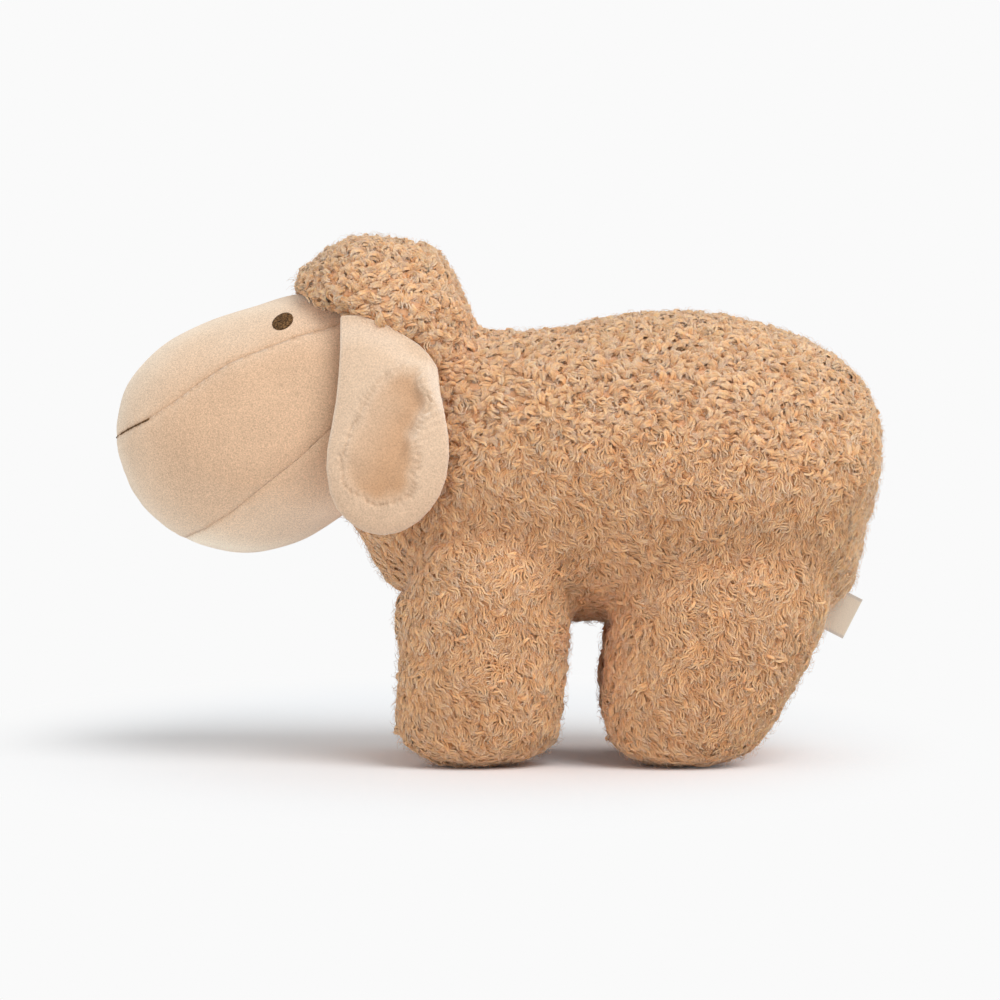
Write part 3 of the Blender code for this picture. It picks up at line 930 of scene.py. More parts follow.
def split(piece: bpy.types.Object, height: Callable[[np.ndarray], np.ndarray], keep_above: bool,
          gap: float = 0.0) -> None:
    """Cut a mesh along a curved surface and keep one side.

    Args:
        piece: Mesh object.
        height: Height of each place above the surface.
        keep_above: Whether the side above the surface stays.
        gap: Clearance that is kept from the surface.
    """
    shell = bmesh.new()
    shell.from_mesh(piece.data)
    places = np.array([corner.co for corner in shell.verts])
    above = height(places)
    for corner, value in zip(shell.verts, above):
        corner.co.z = value
    shift = places[:, 2] - above
    level = shell.verts.layers.float.new("shift")
    for corner, value in zip(shell.verts, shift):
        corner[level] = value
    geometry = shell.verts[:] + shell.edges[:] + shell.faces[:]
    side = 1 if keep_above else -1
    bmesh.ops.bisect_plane(shell, geom=geometry, plane_co=(0, 0, side * gap), plane_no=(0, 0, side),
                           clear_inner=True)
    for corner in shell.verts:
        corner.co.z += corner[level]
    shell.verts.layers.float.remove(level)
    bmesh.ops.dissolve_degenerate(shell, dist=SLIVER, edges=shell.edges[:])
    shell.to_mesh(piece.data)
    shell.free()


def points_of(piece: bpy.types.Object) -> np.ndarray:
    """Mesh points of an object, one a row."""
    return vectors_of(piece.data, "co")


def normals_of(piece: bpy.types.Object) -> np.ndarray:
    """Normals at the mesh points of an object, one a row."""
    return vectors_of(piece.data, "normal")


def set_points(piece: bpy.types.Object, points: np.ndarray) -> None:
    """Move the mesh points of an object.

    Args:
        piece: Mesh object.
        points: New places, one a row.
    """
    piece.data.vertices.foreach_set("co", points.astype(np.float32).ravel())
    piece.data.update()


def let_out(points: np.ndarray, fits: Sequence[Sequence[float]]) -> np.ndarray:
    """Let a skin out, or take it in, at places seen from the side.

    Args:
        points: Places of the skin, one a row.
        fits: Rows of x, z, reach along x, reach along z, shift in x and shift in z, in millimetres.

    Returns:
        The moved places.
    """
    points = points.copy()
    for x, z, wide, high, ahead, up in np.array(fits) * MM:
        share = np.exp(-((points[:, 0] - x) / wide) ** 2 - ((points[:, 2] - z) / high) ** 2)
        points += share[:, None] * np.array([ahead, 0, up])
    return points


def thicken(piece: bpy.types.Object, depth: float) -> bpy.types.Object:
    """Give a sheet its thickness, inwards.

    Args:
        piece: Mesh object.
        depth: Thickness.

    Returns:
        The same object, closed.
    """
    modifier = piece.modifiers.new("thickness", "SOLIDIFY")
    modifier.thickness = depth
    modifier.offset = -1
    modifier.use_even_offset = False
    settle(piece)
    piece.data.shade_smooth()
    return piece


FLEECE_NODES = (
    "body_panel_left", "body_panel_right", "belly_panel_left", "belly_panel_right",
    "front_left_leg_fleece", "front_right_leg_fleece", "hind_left_leg_fleece", "hind_right_leg_fleece",
    "hood_fleece",
)
FACE_NODES = ("brow_panel", "cheek_panel_left", "cheek_panel_right", "chin_panel")
STUFFING_NODES = (
    "body_stuffing", "front_left_leg_stuffing", "front_right_leg_stuffing", "hind_left_leg_stuffing",
    "hind_right_leg_stuffing", "head_stuffing",
)


class PackedSolids:
    """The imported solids, joined for questions about place and nearness."""

    # the way down over the hood's front edge, and the place above and in front of which that edge runs
    down_edge: Point = (-0.63, 0, -0.77)
    edge_z: float = 150 * MM
    edge_x: float = -50 * MM
    turn_reaches: tuple = (3.5 * MM, 5 * MM, 6.5 * MM)

    def __init__(self) -> None:
        """Read the meshes of the fleece and face nodes."""
        points, faces, owner, shift = [], [], [], 0
        for number, name in enumerate(FLEECE_NODES + FACE_NODES):
            surface = Surface.of(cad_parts[name])
            points.append(surface.points)
            faces.append(surface.triangles + shift)
            owner.append(np.full(len(surface.triangles), number))
            shift += len(surface.points)
        self.owner = np.concatenate(owner)
        self.tree = BVHTree.FromPolygons(np.concatenate(points).tolist(), np.concatenate(faces).tolist())

    def over_face(self, places: np.ndarray, normals: np.ndarray, reach: float) -> np.ndarray:
        """Which places lie so near the hood's front edge that the pile is trimmed there.

        Args:
            places: Places, one a row.
            normals: Surface normals there.
            reach: Width of the trimmed edge.

        Returns:
            A mask of the places.
        """
        way = np.array(self.down_edge)
        way = way - dots(normals, way) * normals
        return (self.nearest(places + reach * way) >= len(FLEECE_NODES)) & (places[:, 2] > self.edge_z)

    def turned_in(self, places: np.ndarray, normals: np.ndarray, depth: float) -> np.ndarray:
        """Places of the fleece, turned in along the hood's front edge to meet the face.

        Args:
            places: Places, one a row.
            normals: Surface normals there.
            depth: How far the edge turns in.

        Returns:
            The moved places.
        """
        places = places.copy()
        hood = np.flatnonzero((places[:, 2] > self.edge_z) & (places[:, 0] < self.edge_x))
        near = sum(self.over_face(places[hood], normals[hood], reach).astype(float)
                   for reach in self.turn_reaches)
        places[hood] -= (depth / len(self.turn_reaches) * near)[:, None] * normals[hood]
        return places

    def nearest(self, places: np.ndarray) -> np.ndarray:
        """Number of the node that each place is nearest to.

        Args:
            places: Places, one a row.

        Returns:
            Numbers of the nodes, the fleece's first and then the face's.
        """
        return np.array([self.owner[self.tree.find_nearest(place)[2]] for place in places.tolist()])


@dataclass(frozen=True)
class StuffedCloth:
    """Short cloth simulation, in which filling presses a sewn skin out between its seams."""

    voxel: float = 5 * MM
    pressure: float = 30.0
    mass: float = 0.01
    stiffness: float = 4.0
    frames: int = 20
    cap: float = 0.8 * MM
    neighbours: int = 6
    nearness: float = 0.5 * MM

    def press(self, form: bpy.types.Object, held: Callable[[np.ndarray], np.ndarray]) -> None:
        """Move a form's points as the filling moves a remeshed copy of it.

        Args:
            form: The skin at rest.
            held: Gives how firmly each place is held, from 0 to 1.
        """
        copy = add_object(form.name + "_cloth", form.data.copy())
        remesh(copy, self.voxel)
        start = points_of(copy)
        pins = copy.vertex_groups.new(name="held")
        for index, weight in enumerate(np.clip(held(start), 0, 1)):
            pins.add([index], float(weight), "REPLACE")
        moved = self._simulate(copy) - start
        size = np.linalg.norm(moved, axis=1, keepdims=True)
        moved *= np.minimum(1, self.cap / np.maximum(size, 1e-9))
        log.info("%-34s %7.2f mm at most, %.2f mm on average", copy.name, size.max() / MM, size.mean() / MM)
        tree = point_tree(start)
        points = points_of(form)
        for row, place in enumerate(points.tolist()):
            near = tree.find_n(place, self.neighbours)
            weights = np.array([1 / (distance + self.nearness) ** 2 for _, _, distance in near])
            points[row] += weights @ moved[[index for _, index, _ in near]] / weights.sum()
        set_points(form, points)
        bpy.data.objects.remove(copy, do_unlink=True)

    def _simulate(self, copy: bpy.types.Object) -> np.ndarray:
        """Run the simulation.

        Args:
            copy: The remeshed skin with its held points.

        Returns:
            Where its points end.
        """
        cloth = copy.modifiers.new("cloth", "CLOTH")
        cloth.settings.use_pressure = True
        cloth.settings.uniform_pressure_force = self.pressure
        cloth.settings.vertex_group_mass = "held"
        cloth.settings.quality = 4
        cloth.settings.mass = self.mass
        for way in ("tension", "compression", "shear"):
            setattr(cloth.settings, way + "_stiffness", self.stiffness)
        cloth.settings.effector_weights.gravity = 0
        cloth.point_cache.frame_start = 1
        cloth.point_cache.frame_end = self.frames
        scene = bpy.context.scene
        for number in range(1, self.frames + 1):
            scene.frame_set(number)
        end = Surface.of(copy).points
        scene.frame_set(1)
        return end


@dataclass
class CoatSkin:
    """Smooth surface that the fleece grows on, in one over the body, legs and head."""

    voxel: float = 3 * MM
    rounds: int = 10
    depth: float = 3.2 * MM
    # rows for let_out: back, loin, chest, front feet's toes and heels, rump, hood's back and front
    fits: tuple = (
        (20, 176, 24, 14, 0, -3.2), (70, 178, 24, 12, 0, 0.8), (-44, 62, 9, 10, -6.5, 0), (-44, 8, 10, 14, -4.5, 0),
        (22, 6, 8, 12, 3.5, 0), (152, 90, 18, 20, -4.2, 0), (-24, 204, 10, 10, 2, 3), (-76, 201, 10, 9, 1.5, -2.5),
    )

    def build(self) -> Surface:
        """Join the solids, smooth the joints and set the surface in.

        Returns:
            The surface of the fabric backing.
        """
        shell = bmesh.new()
        for name in FLEECE_NODES + FACE_NODES + STUFFING_NODES:
            shell.from_mesh(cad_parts[name].data)
        mesh = bpy.data.meshes.new("coat_skin")
        shell.to_mesh(mesh)
        shell.free()
        skin = add_object("coat_skin", mesh)
        remesh(skin, self.voxel)
        self._keep_largest(skin)
        smooth_out(skin, self.rounds)
        StuffedCloth(voxel=6 * MM).press(skin, self._held)
        set_points(skin, let_out(points_of(skin), self.fits))
        surface = Surface.of(skin)
        surface.points = surface.points - self.depth * surface.normals
        bpy.data.objects.remove(skin, do_unlink=True)
        return surface

    @staticmethod
    def _held(places: np.ndarray) -> np.ndarray:
        """How firmly the skin is held: at the back seam, on the soles and in the face.

        Args:
            places: Places, one a row.

        Returns:
            One value for each place.
        """
        seam = bell(places[:, 1], 3 * MM)
        sole = ease(-places[:, 2], -6 * MM, -2 * MM)
        face = ease(-places[:, 0], 62 * MM, 76 * MM)
        return np.maximum(np.maximum(seam, sole), face)

    @staticmethod
    def _keep_largest(skin: bpy.types.Object) -> None:
        """Drop every loose shell but the largest.

        Args:
            skin: Mesh object.
        """
        shell = bmesh.new()
        shell.from_mesh(skin.data)
        left = set(shell.verts)
        largest: set = set()
        while left:
            group = {left.pop()}
            front = list(group)
            while front:
                corner = front.pop()
                for edge in corner.link_edges:
                    other = edge.other_vert(corner)
                    if other in left:
                        left.discard(other)
                        group.add(other)
                        front.append(other)
            if len(group) > len(largest):
                largest = group
        drop = [corner for corner in shell.verts if corner not in largest]
        bmesh.ops.delete(shell, geom=drop, context="VERTS")
        shell.to_mesh(skin.data)
        shell.free()


class LockKind(Enum):
    """How a strand lies."""

    CURL = "curl"
    WAVE = "wave"
    FIBRE = "fibre"


@dataclass(frozen=True)
class LockStyle:
    """Range of sizes of one kind of strand, in metres; a curl's length is its bow's.

    gather is how far a strand leans to the middle of its tuft, and sway how far it weaves aside.
    """

    kind: LockKind
    length: tuple[float, float]
    rise: tuple[float, float]
    width: tuple[float, float]
    gather: float
    rings: int
    sway: tuple[float, float] = (0.0, 0.0)
    sides: int = 3

    @property
    def triangles(self) -> int:
        """Triangles of one strand."""
        return 2 * self.sides * (self.rings - 1) + 2 * (self.sides - 2)


CURL = LockStyle(LockKind.CURL, length=(3.1 * MM, 4.5 * MM), rise=(2.2 * MM, 3.1 * MM),
                 width=(1.1 * MM, 1.5 * MM), gather=0.46, rings=6)
WAVE = LockStyle(LockKind.WAVE, length=(6.5 * MM, 10.0 * MM), rise=(1.9 * MM, 2.9 * MM),
                 width=(0.7 * MM, 0.95 * MM), gather=0.3, rings=8, sway=(0.45 * MM, 0.85 * MM))
FIBRE = LockStyle(LockKind.FIBRE, length=(3.0 * MM, 6.0 * MM), rise=(3.2 * MM, 4.5 * MM),
                  width=(0.14 * MM, 0.2 * MM), gather=0.0, rings=4, sway=(0.4 * MM, 1.2 * MM))


@dataclass
class Roots:
    """Roots of strands on the skin, with the tuft that each one belongs to."""

    places: np.ndarray
    normals: np.ndarray
    owner: np.ndarray
    tuft: np.ndarray
    pull: np.ndarray

    def __getitem__(self, chosen: np.ndarray) -> "Roots":
        """Roots that a mask or a list of indices chooses."""
        return Roots(self.places[chosen], self.normals[chosen], self.owner[chosen], self.tuft[chosen],
                     self.pull[chosen])

    def __len__(self) -> int:
        """Number of roots."""
        return len(self.places)


@dataclass
class FleeceCoat:
    """Tufts of curly strands and loose fibres over the body, the legs and the hood."""

    # strands and tufts a square millimetre
    curl_density: float = 0.84
    wave_density: float = 0.66
    fibre_density: float = 0.22
    tuft_density: float = 0.066
    tuft_reach: float = 2.3 * MM
    tuft_gap: float = 4.6 * MM
    strand_gap: float = 1.4 * MM
    trimmed: float = 2.0 * MM
    most_triangles: int = 190_000
    softness: float = 0.72
    lowest: float = 0.1 * MM
    curled_low: float = 85 * MM
    curled_high: float = 165 * MM
    parting_width: float = 4 * MM
    parting_length: tuple[float, float] = (9 * MM, 13 * MM)
    parting_reach: float = 25 * MM
    parted: float = 0.85
    backing: float = 1.4 * MM
    backing_lift: float = 0.8 * MM
    backing_trimmed: float = 2.4 * MM
    backing_lowest: float = 0.3 * MM
    turn_in: float = 2.5 * MM
    seed: int = 11

    def grow(self, skin: Surface, solids: PackedSolids, finishes: Finishes) -> None:
        """Cover the skin with backing, strands and fibres.

        Args:
            skin: Surface of the backing.
            solids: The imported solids.
            finishes: The materials.
        """
        self._backing(skin, solids, finishes)
        draw = np.random.default_rng(self.seed)
        middles, normals = skin.scatter(self._even(self.tuft_density), draw)
        for _ in range(3):
            middles = spread_out(middles, normals, self.tuft_gap)
        roots = self._roots(skin, solids, self._density, middles, self.strand_gap, draw)
        curled = self._curliness(roots.places, roots.normals)
        curled = curled + draw.normal(0, 0.2, len(middles))[roots.tuft] + draw.normal(0, 0.1, len(roots)) > 0.5
        self._strands(CURL, roots[curled], len(middles), draw, finishes)
        self._strands(WAVE, roots[~curled], len(middles), draw, finishes)
        loose = self._roots(skin, solids, self._even(self.fibre_density), middles, 0, draw)
        self._strands(FIBRE, loose, len(middles), draw, finishes)

    @staticmethod
    def _even(density: float) -> Callable[[np.ndarray, np.ndarray], np.ndarray]:
        """The same density everywhere, given for a square millimetre."""
        return lambda middles, normals: np.full(len(middles), density / MM ** 2)

    def _roots(self, skin: Surface, solids: PackedSolids, density: Callable, middles: np.ndarray,
               reach: float, draw: np.random.Generator) -> Roots:
        """Spread roots over the fleece and find their tufts.

        Args:
            skin: Surface of the backing.
            solids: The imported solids.
            density: Roots a square metre.
            middles: Middles of the tufts.
            reach: Distance within which two roots push each other, or 0.
            draw: Source of random numbers.

        Returns:
            The roots on fleece nodes.
        """
        places, normals = skin.scatter(density, draw)
        if reach:
            places = spread_out(places, normals, reach)
        owner = solids.nearest(places)
        kept = (owner < len(FLEECE_NODES)) & ~solids.over_face(places, normals, self.trimmed)
        places, normals, owner = places[kept], normals[kept], owner[kept]
        places = solids.turned_in(places, normals, self.turn_in)
        tree = point_tree(middles)
        tuft = np.array([tree.find(place)[1] for place in places.tolist()])
        return Roots(places, normals, owner, tuft, middles[tuft] - places)

    def _curliness(self, places: np.ndarray, normals: np.ndarray) -> np.ndarray:
        """How much of the coat is in round curls at each place, from 0 to 1.

        Args:
            places: Places, one a row.
            normals: Surface normals there.

        Returns:
            One value for each place.
        """
        top = ease(places[:, 2], self.curled_low, self.curled_high)
        drift = WaveNoise(40 * MM, 5).at(places)
        return np.clip(0.75 * top + 0.3 * np.clip(normals[:, 2], -1, 1) + 0.08 * drift + 0.08, 0, 1)

    def _density(self, middles: np.ndarray, normals: np.ndarray) -> np.ndarray:
        """Strands a square metre.

        Args:
            middles: Triangle middles.
            normals: Triangle normals.

        Returns:
            One value for each triangle.
        """
        curly = self._curliness(middles, normals)
        return (self.wave_density + (self.curl_density - self.wave_density) * curly) / MM ** 2

    def _beside_label(self, places: np.ndarray) -> np.ndarray:
        """Share of the pile's height that stays where the label swings and parts it.

        Args:
            places: Places, one a row.

        Returns:
            One value for each place.
        """
        offset = places - np.array(LABEL_ROOT)
        along = np.abs(offset @ np.array([math.sin(LABEL_PITCH), 0, math.cos(LABEL_PITCH)]))
        full, end = self.parting_length
        near = np.exp(-(places[:, 1] / self.parting_width) ** 4) * ease(-along, -end, -full)
        return 1 - self.parted * near * (np.linalg.norm(offset, axis=1) < self.parting_reach)

    def _flow(self, places: np.ndarray, normals: np.ndarray) -> np.ndarray:
        """Direction of the pile's lie: down the flanks and legs, back along the belly.

        Args:
            places: Places, one a row.
            normals: Surface normals there.

        Returns:
            Unit vectors along the surface.
        """
        flank, belly = np.array([0.12, 0, -1.0]), np.array([1.0, 0, 0])
        under = ease(-normals[:, 2], 0.6, 0.95)[:, None]
        way = (1 - under) * flank + under * belly + 0.4 * WaveNoise(24 * MM, 31).vectors(places)
        return unit(way - dots(way, normals) * normals)

    def _paths(self, style: LockStyle, roots: Roots, tufts: int, draw: np.random.Generator
               ) -> tuple[np.ndarray, np.ndarray]:
        """Middle lines of strands, which keep together within a tuft.

        Args:
            style: Sizes of the strands.
            roots: Their roots.
            tufts: Number of tufts.
            draw: Source of random numbers.

        Returns:
            Ring middles, as strand, ring, place, and the direction across each strand.
        """
        count = len(roots)
        shared = draw.uniform(0, 1, (4, tufts))[:, roots.tuft, None]
        own = draw.uniform(0, 1, (4, count, 1))
        blend = 0.65 * shared + 0.35 * own if style.gather else own
        length, rise, sway = (low + (high - low) * part for (low, high), part in
                              zip((style.length, style.rise, style.sway), blend))
        if style.kind is LockKind.WAVE:
            angle = 1.1 * (shared[3] - 0.5) + draw.normal(0, 0.16, (count, 1))
        elif style.kind is LockKind.CURL:
            angle = np.pi * (0.5 + (shared[2] > 0.5)) + 2.0 * (shared[3] - 0.5) + draw.normal(0, 0.28, (count, 1))
        else:
            angle = 2 * np.pi * own[3]
        phase = 2 * np.pi * shared[0] + draw.normal(0, 0.45, (count, 1))
        flow = self._flow(roots.places, roots.normals)
        ahead = np.cos(angle) * flow + np.sin(angle) * np.cross(roots.normals, flow)
        across = np.cross(roots.normals, ahead)
        # every strand runs along, rises high and swings aside; from_tuft lowers a tuft's rim
        t = np.linspace(0, 1, style.rings)[None, :]
        gathered = 0.3 + 0.7 * t ** 1.3
        from_tuft = np.linalg.norm(roots.pull, axis=1) / self.tuft_reach
        crown = 1.0
        if style.kind is LockKind.CURL:
            gathered = np.ones_like(t)
            radius = length / 2
            turn = np.pi * (-0.2 + 1.45 * t)
            tilt = 0.35 + 1.1 * shared[0] + draw.normal(0, 0.25, (count, 1))
            bulge = np.sin(np.pi * (0.1 + 0.75 * t))
            along = radius * (0.3 * (own[3] - 0.5) - np.cos(turn))
            aside = radius * np.cos(tilt) * np.sin(turn) * np.where(shared[1] > 0.5, 1, -1) - 0.4 * radius
            high = rise * (0.12 + 0.5 * bulge) + radius * np.sin(tilt) * np.sin(turn) * 0.75
            crown = 1.12 - 0.56 * np.clip(from_tuft, 0, 1.2) ** 2
        elif style.kind is LockKind.WAVE:
            along = length * (t - 0.35)
            high = rise * (0.12 + 0.9 * np.sin(np.pi * (0.05 + 0.8 * t ** 0.8)))
            aside = sway * np.sin(2 * np.pi * 1.5 * t + phase)
            crown = 1 - 0.42 * np.clip(from_tuft, 0, 1.3) ** 2
        else:
            along = length * t
            high = rise * np.sin(np.pi * (0.02 + 0.55 * t))
            aside = sway * np.sin(2 * np.pi * 0.7 * t + phase)
        swell = 1 + 0.13 * WaveNoise(9 * MM, 47).at(roots.places)
        high = high * (swell * crown * self._beside_label(roots.places))[:, None]
        paths = (roots.places[:, None, :] + along[:, :, None] * ahead[:, None, :]
                 + high[:, :, None] * roots.normals[:, None, :] + aside[:, :, None] * across[:, None, :]
                 + (style.gather * gathered)[:, :, None] * roots.pull[:, None, :])
        return paths, across

    def _strands(self, style: LockStyle, roots: Roots, tufts: int, draw: np.random.Generator,
                 finishes: Finishes) -> None:
        """Make the pieces of one kind of strand.

        Args:
            style: Sizes of the strands.
            roots: Their roots.
            tufts: Number of tufts.
            draw: Source of random numbers.
            finishes: The materials.
        """
        paths, across = self._paths(style, roots, tufts, draw)
        t = np.linspace(0, 1, style.rings)
        width = draw.uniform(*style.width, (len(roots), 1))
        if style.kind is LockKind.FIBRE:
            profile = 1 - 0.6 * t
        else:
            profile = 0.6 + 0.5 * np.sin(np.pi * (0.12 + 0.74 * t)) - 0.55 * t ** 4
        radii = width / 2 * profile
        shade = draw.normal(1.0, 0.05, len(roots)) + 0.05 * WaveNoise(14 * MM, 61).at(roots.places)
        if style.gather:
            shade += draw.normal(0, 0.045, tufts)[roots.tuft]
            # painted shade: strands at a tuft's rim are darker, where shade falls between the tufts
            shade -= 0.10 * np.clip(np.linalg.norm(roots.pull, axis=1) / self.tuft_reach - 0.4, 0, 1)
        limit = self.most_triangles // style.triangles
        for number, node in enumerate(FLEECE_NODES):
            mine = np.flatnonzero(roots.owner == number)
            mine = mine[np.argsort(roots.places[mine, 0], kind="stable")]
            parts = math.ceil(len(mine) / limit)
            for part, chosen in enumerate(np.array_split(mine, parts) if parts else ()):
                points, faces = tubes(paths[chosen], radii[chosen], across[chosen], style.sides)
                points[:, 2] = np.maximum(points[:, 2], self.lowest)
                piece = mesh_object(f"{node}_{style.kind.value}s_{part + 1}", points, faces)
                lie = np.repeat(roots.normals[chosen], style.rings * style.sides, axis=0)
                soften(piece, lie, self.softness)
                # painted light: strands on the curly top run up to the palest tip colour, and lower ones stop short
                # of it and stay darker, standing in for light from above
                painted_top_light = 0.72 + 0.34 * self._curliness(roots.places[chosen], roots.normals[chosen])
                strand = (painted_top_light[:, None] * t).ravel()
                store(piece, "strand", np.repeat(strand, style.sides))
                store(piece, "shade", np.repeat(shade[chosen], style.rings * style.sides))
                bake_grid(piece, len(chosen), style.rings, style.sides)
                dress(piece, finishes.fleece, Body.SHEEP, [node])

    def _backing(self, skin: Surface, solids: PackedSolids, finishes: Finishes) -> None:
        """Make the knitted backing under each node's fleece.

        Args:
            skin: Surface of the backing.
            solids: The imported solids.
            finishes: The materials.
        """
        middles = skin.points[skin.triangles].mean(1)
        owner = solids.nearest(middles)
        owner[solids.over_face(middles, skin.normals[skin.triangles[:, 0]], self.backing_trimmed)] = -1
        for number, node in enumerate(FLEECE_NODES):
            faces = skin.triangles[owner == number]
            used, places = np.unique(faces, return_inverse=True)
            lifted = skin.points[used] + self.backing_lift * skin.normals[used]
            lifted = solids.turned_in(lifted, skin.normals[used], self.turn_in + self.backing_lift)
            lifted[:, 2] = np.maximum(lifted[:, 2], self.backing_lowest)
            piece = mesh_object(node + "_backing", lifted, [places.reshape(-1, 3)])
            thicken(piece, self.backing)
            dress(piece, finishes.backing, Body.SHEEP, [node])


@dataclass
class ClosingStitch:
    """Ladder stitch that closes the belly by hand, drawn in between the locks."""

    start_x: float = 28 * MM
    length: float = 44 * MM
    width: float = 3 * MM
    steps: int = 10
    thread: float = 0.55 * MM
    lift: float = 0.3 * MM
    below: float = -10 * MM
    rings: int = 8
    sides: int = 8

    def build(self, skin: Surface, finishes: Finishes) -> None:
        """Lay the thread on the backing, one tube for each step of the ladder.

        Args:
            skin: Surface of the backing.
            finishes: The materials.
        """
        tree = skin.tree()
        paths = []
        for step in range(self.steps):
            row = []
            for share in np.linspace(0, 1, self.rings):
                swing = math.cos(math.pi * (step + share)) * self.width / 2
                start = Vector((self.start_x + (step + share) / self.steps * self.length, swing, self.below))
                place, normal, _, _ = tree.ray_cast(start, Vector((0, 0, 1)))
                row.append(place + self.lift * normal)
            paths.append(row)
        paths = np.array(paths, float)
        radii = np.full(paths.shape[:2], self.thread / 2)
        points, faces = tubes(paths, radii, np.tile([0.0, 0.0, 1.0], (self.steps, 1)), self.sides)
        piece = mesh_object("closing_thread", points, faces)
        bake_grid(piece, self.steps, self.rings, self.sides)
        dress(piece, finishes.sewing_thread, Body.SHEEP, ["closing_stitch"])


@dataclass
class Stuffing:
    """Loose fibre filling of the body, the legs and the head, set in from the fabric."""

    voxel: float = 4 * MM
    rounds: int = 6
    depth: float = 1.5 * MM
    lump: float = 0.3 * MM
    lump_length: float = 12 * MM

    def build(self, finishes: Finishes) -> None:
        """Make one lumpy filling for each stuffing solid.

        Args:
            finishes: The materials.
        """
        for node in STUFFING_NODES:
            piece = add_object(node.replace("stuffing", "filling"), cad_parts[node].data.copy())
            remesh(piece, self.voxel)
            smooth_out(piece, self.rounds)
            lumps = self.lump * WaveNoise(self.lump_length, 71).at(points_of(piece))
            set_points(piece, points_of(piece) - (self.depth - lumps)[:, None] * normals_of(piece))
            piece.data.shade_smooth()
            dress(piece, finishes.filling, Body.SHEEP, [node])


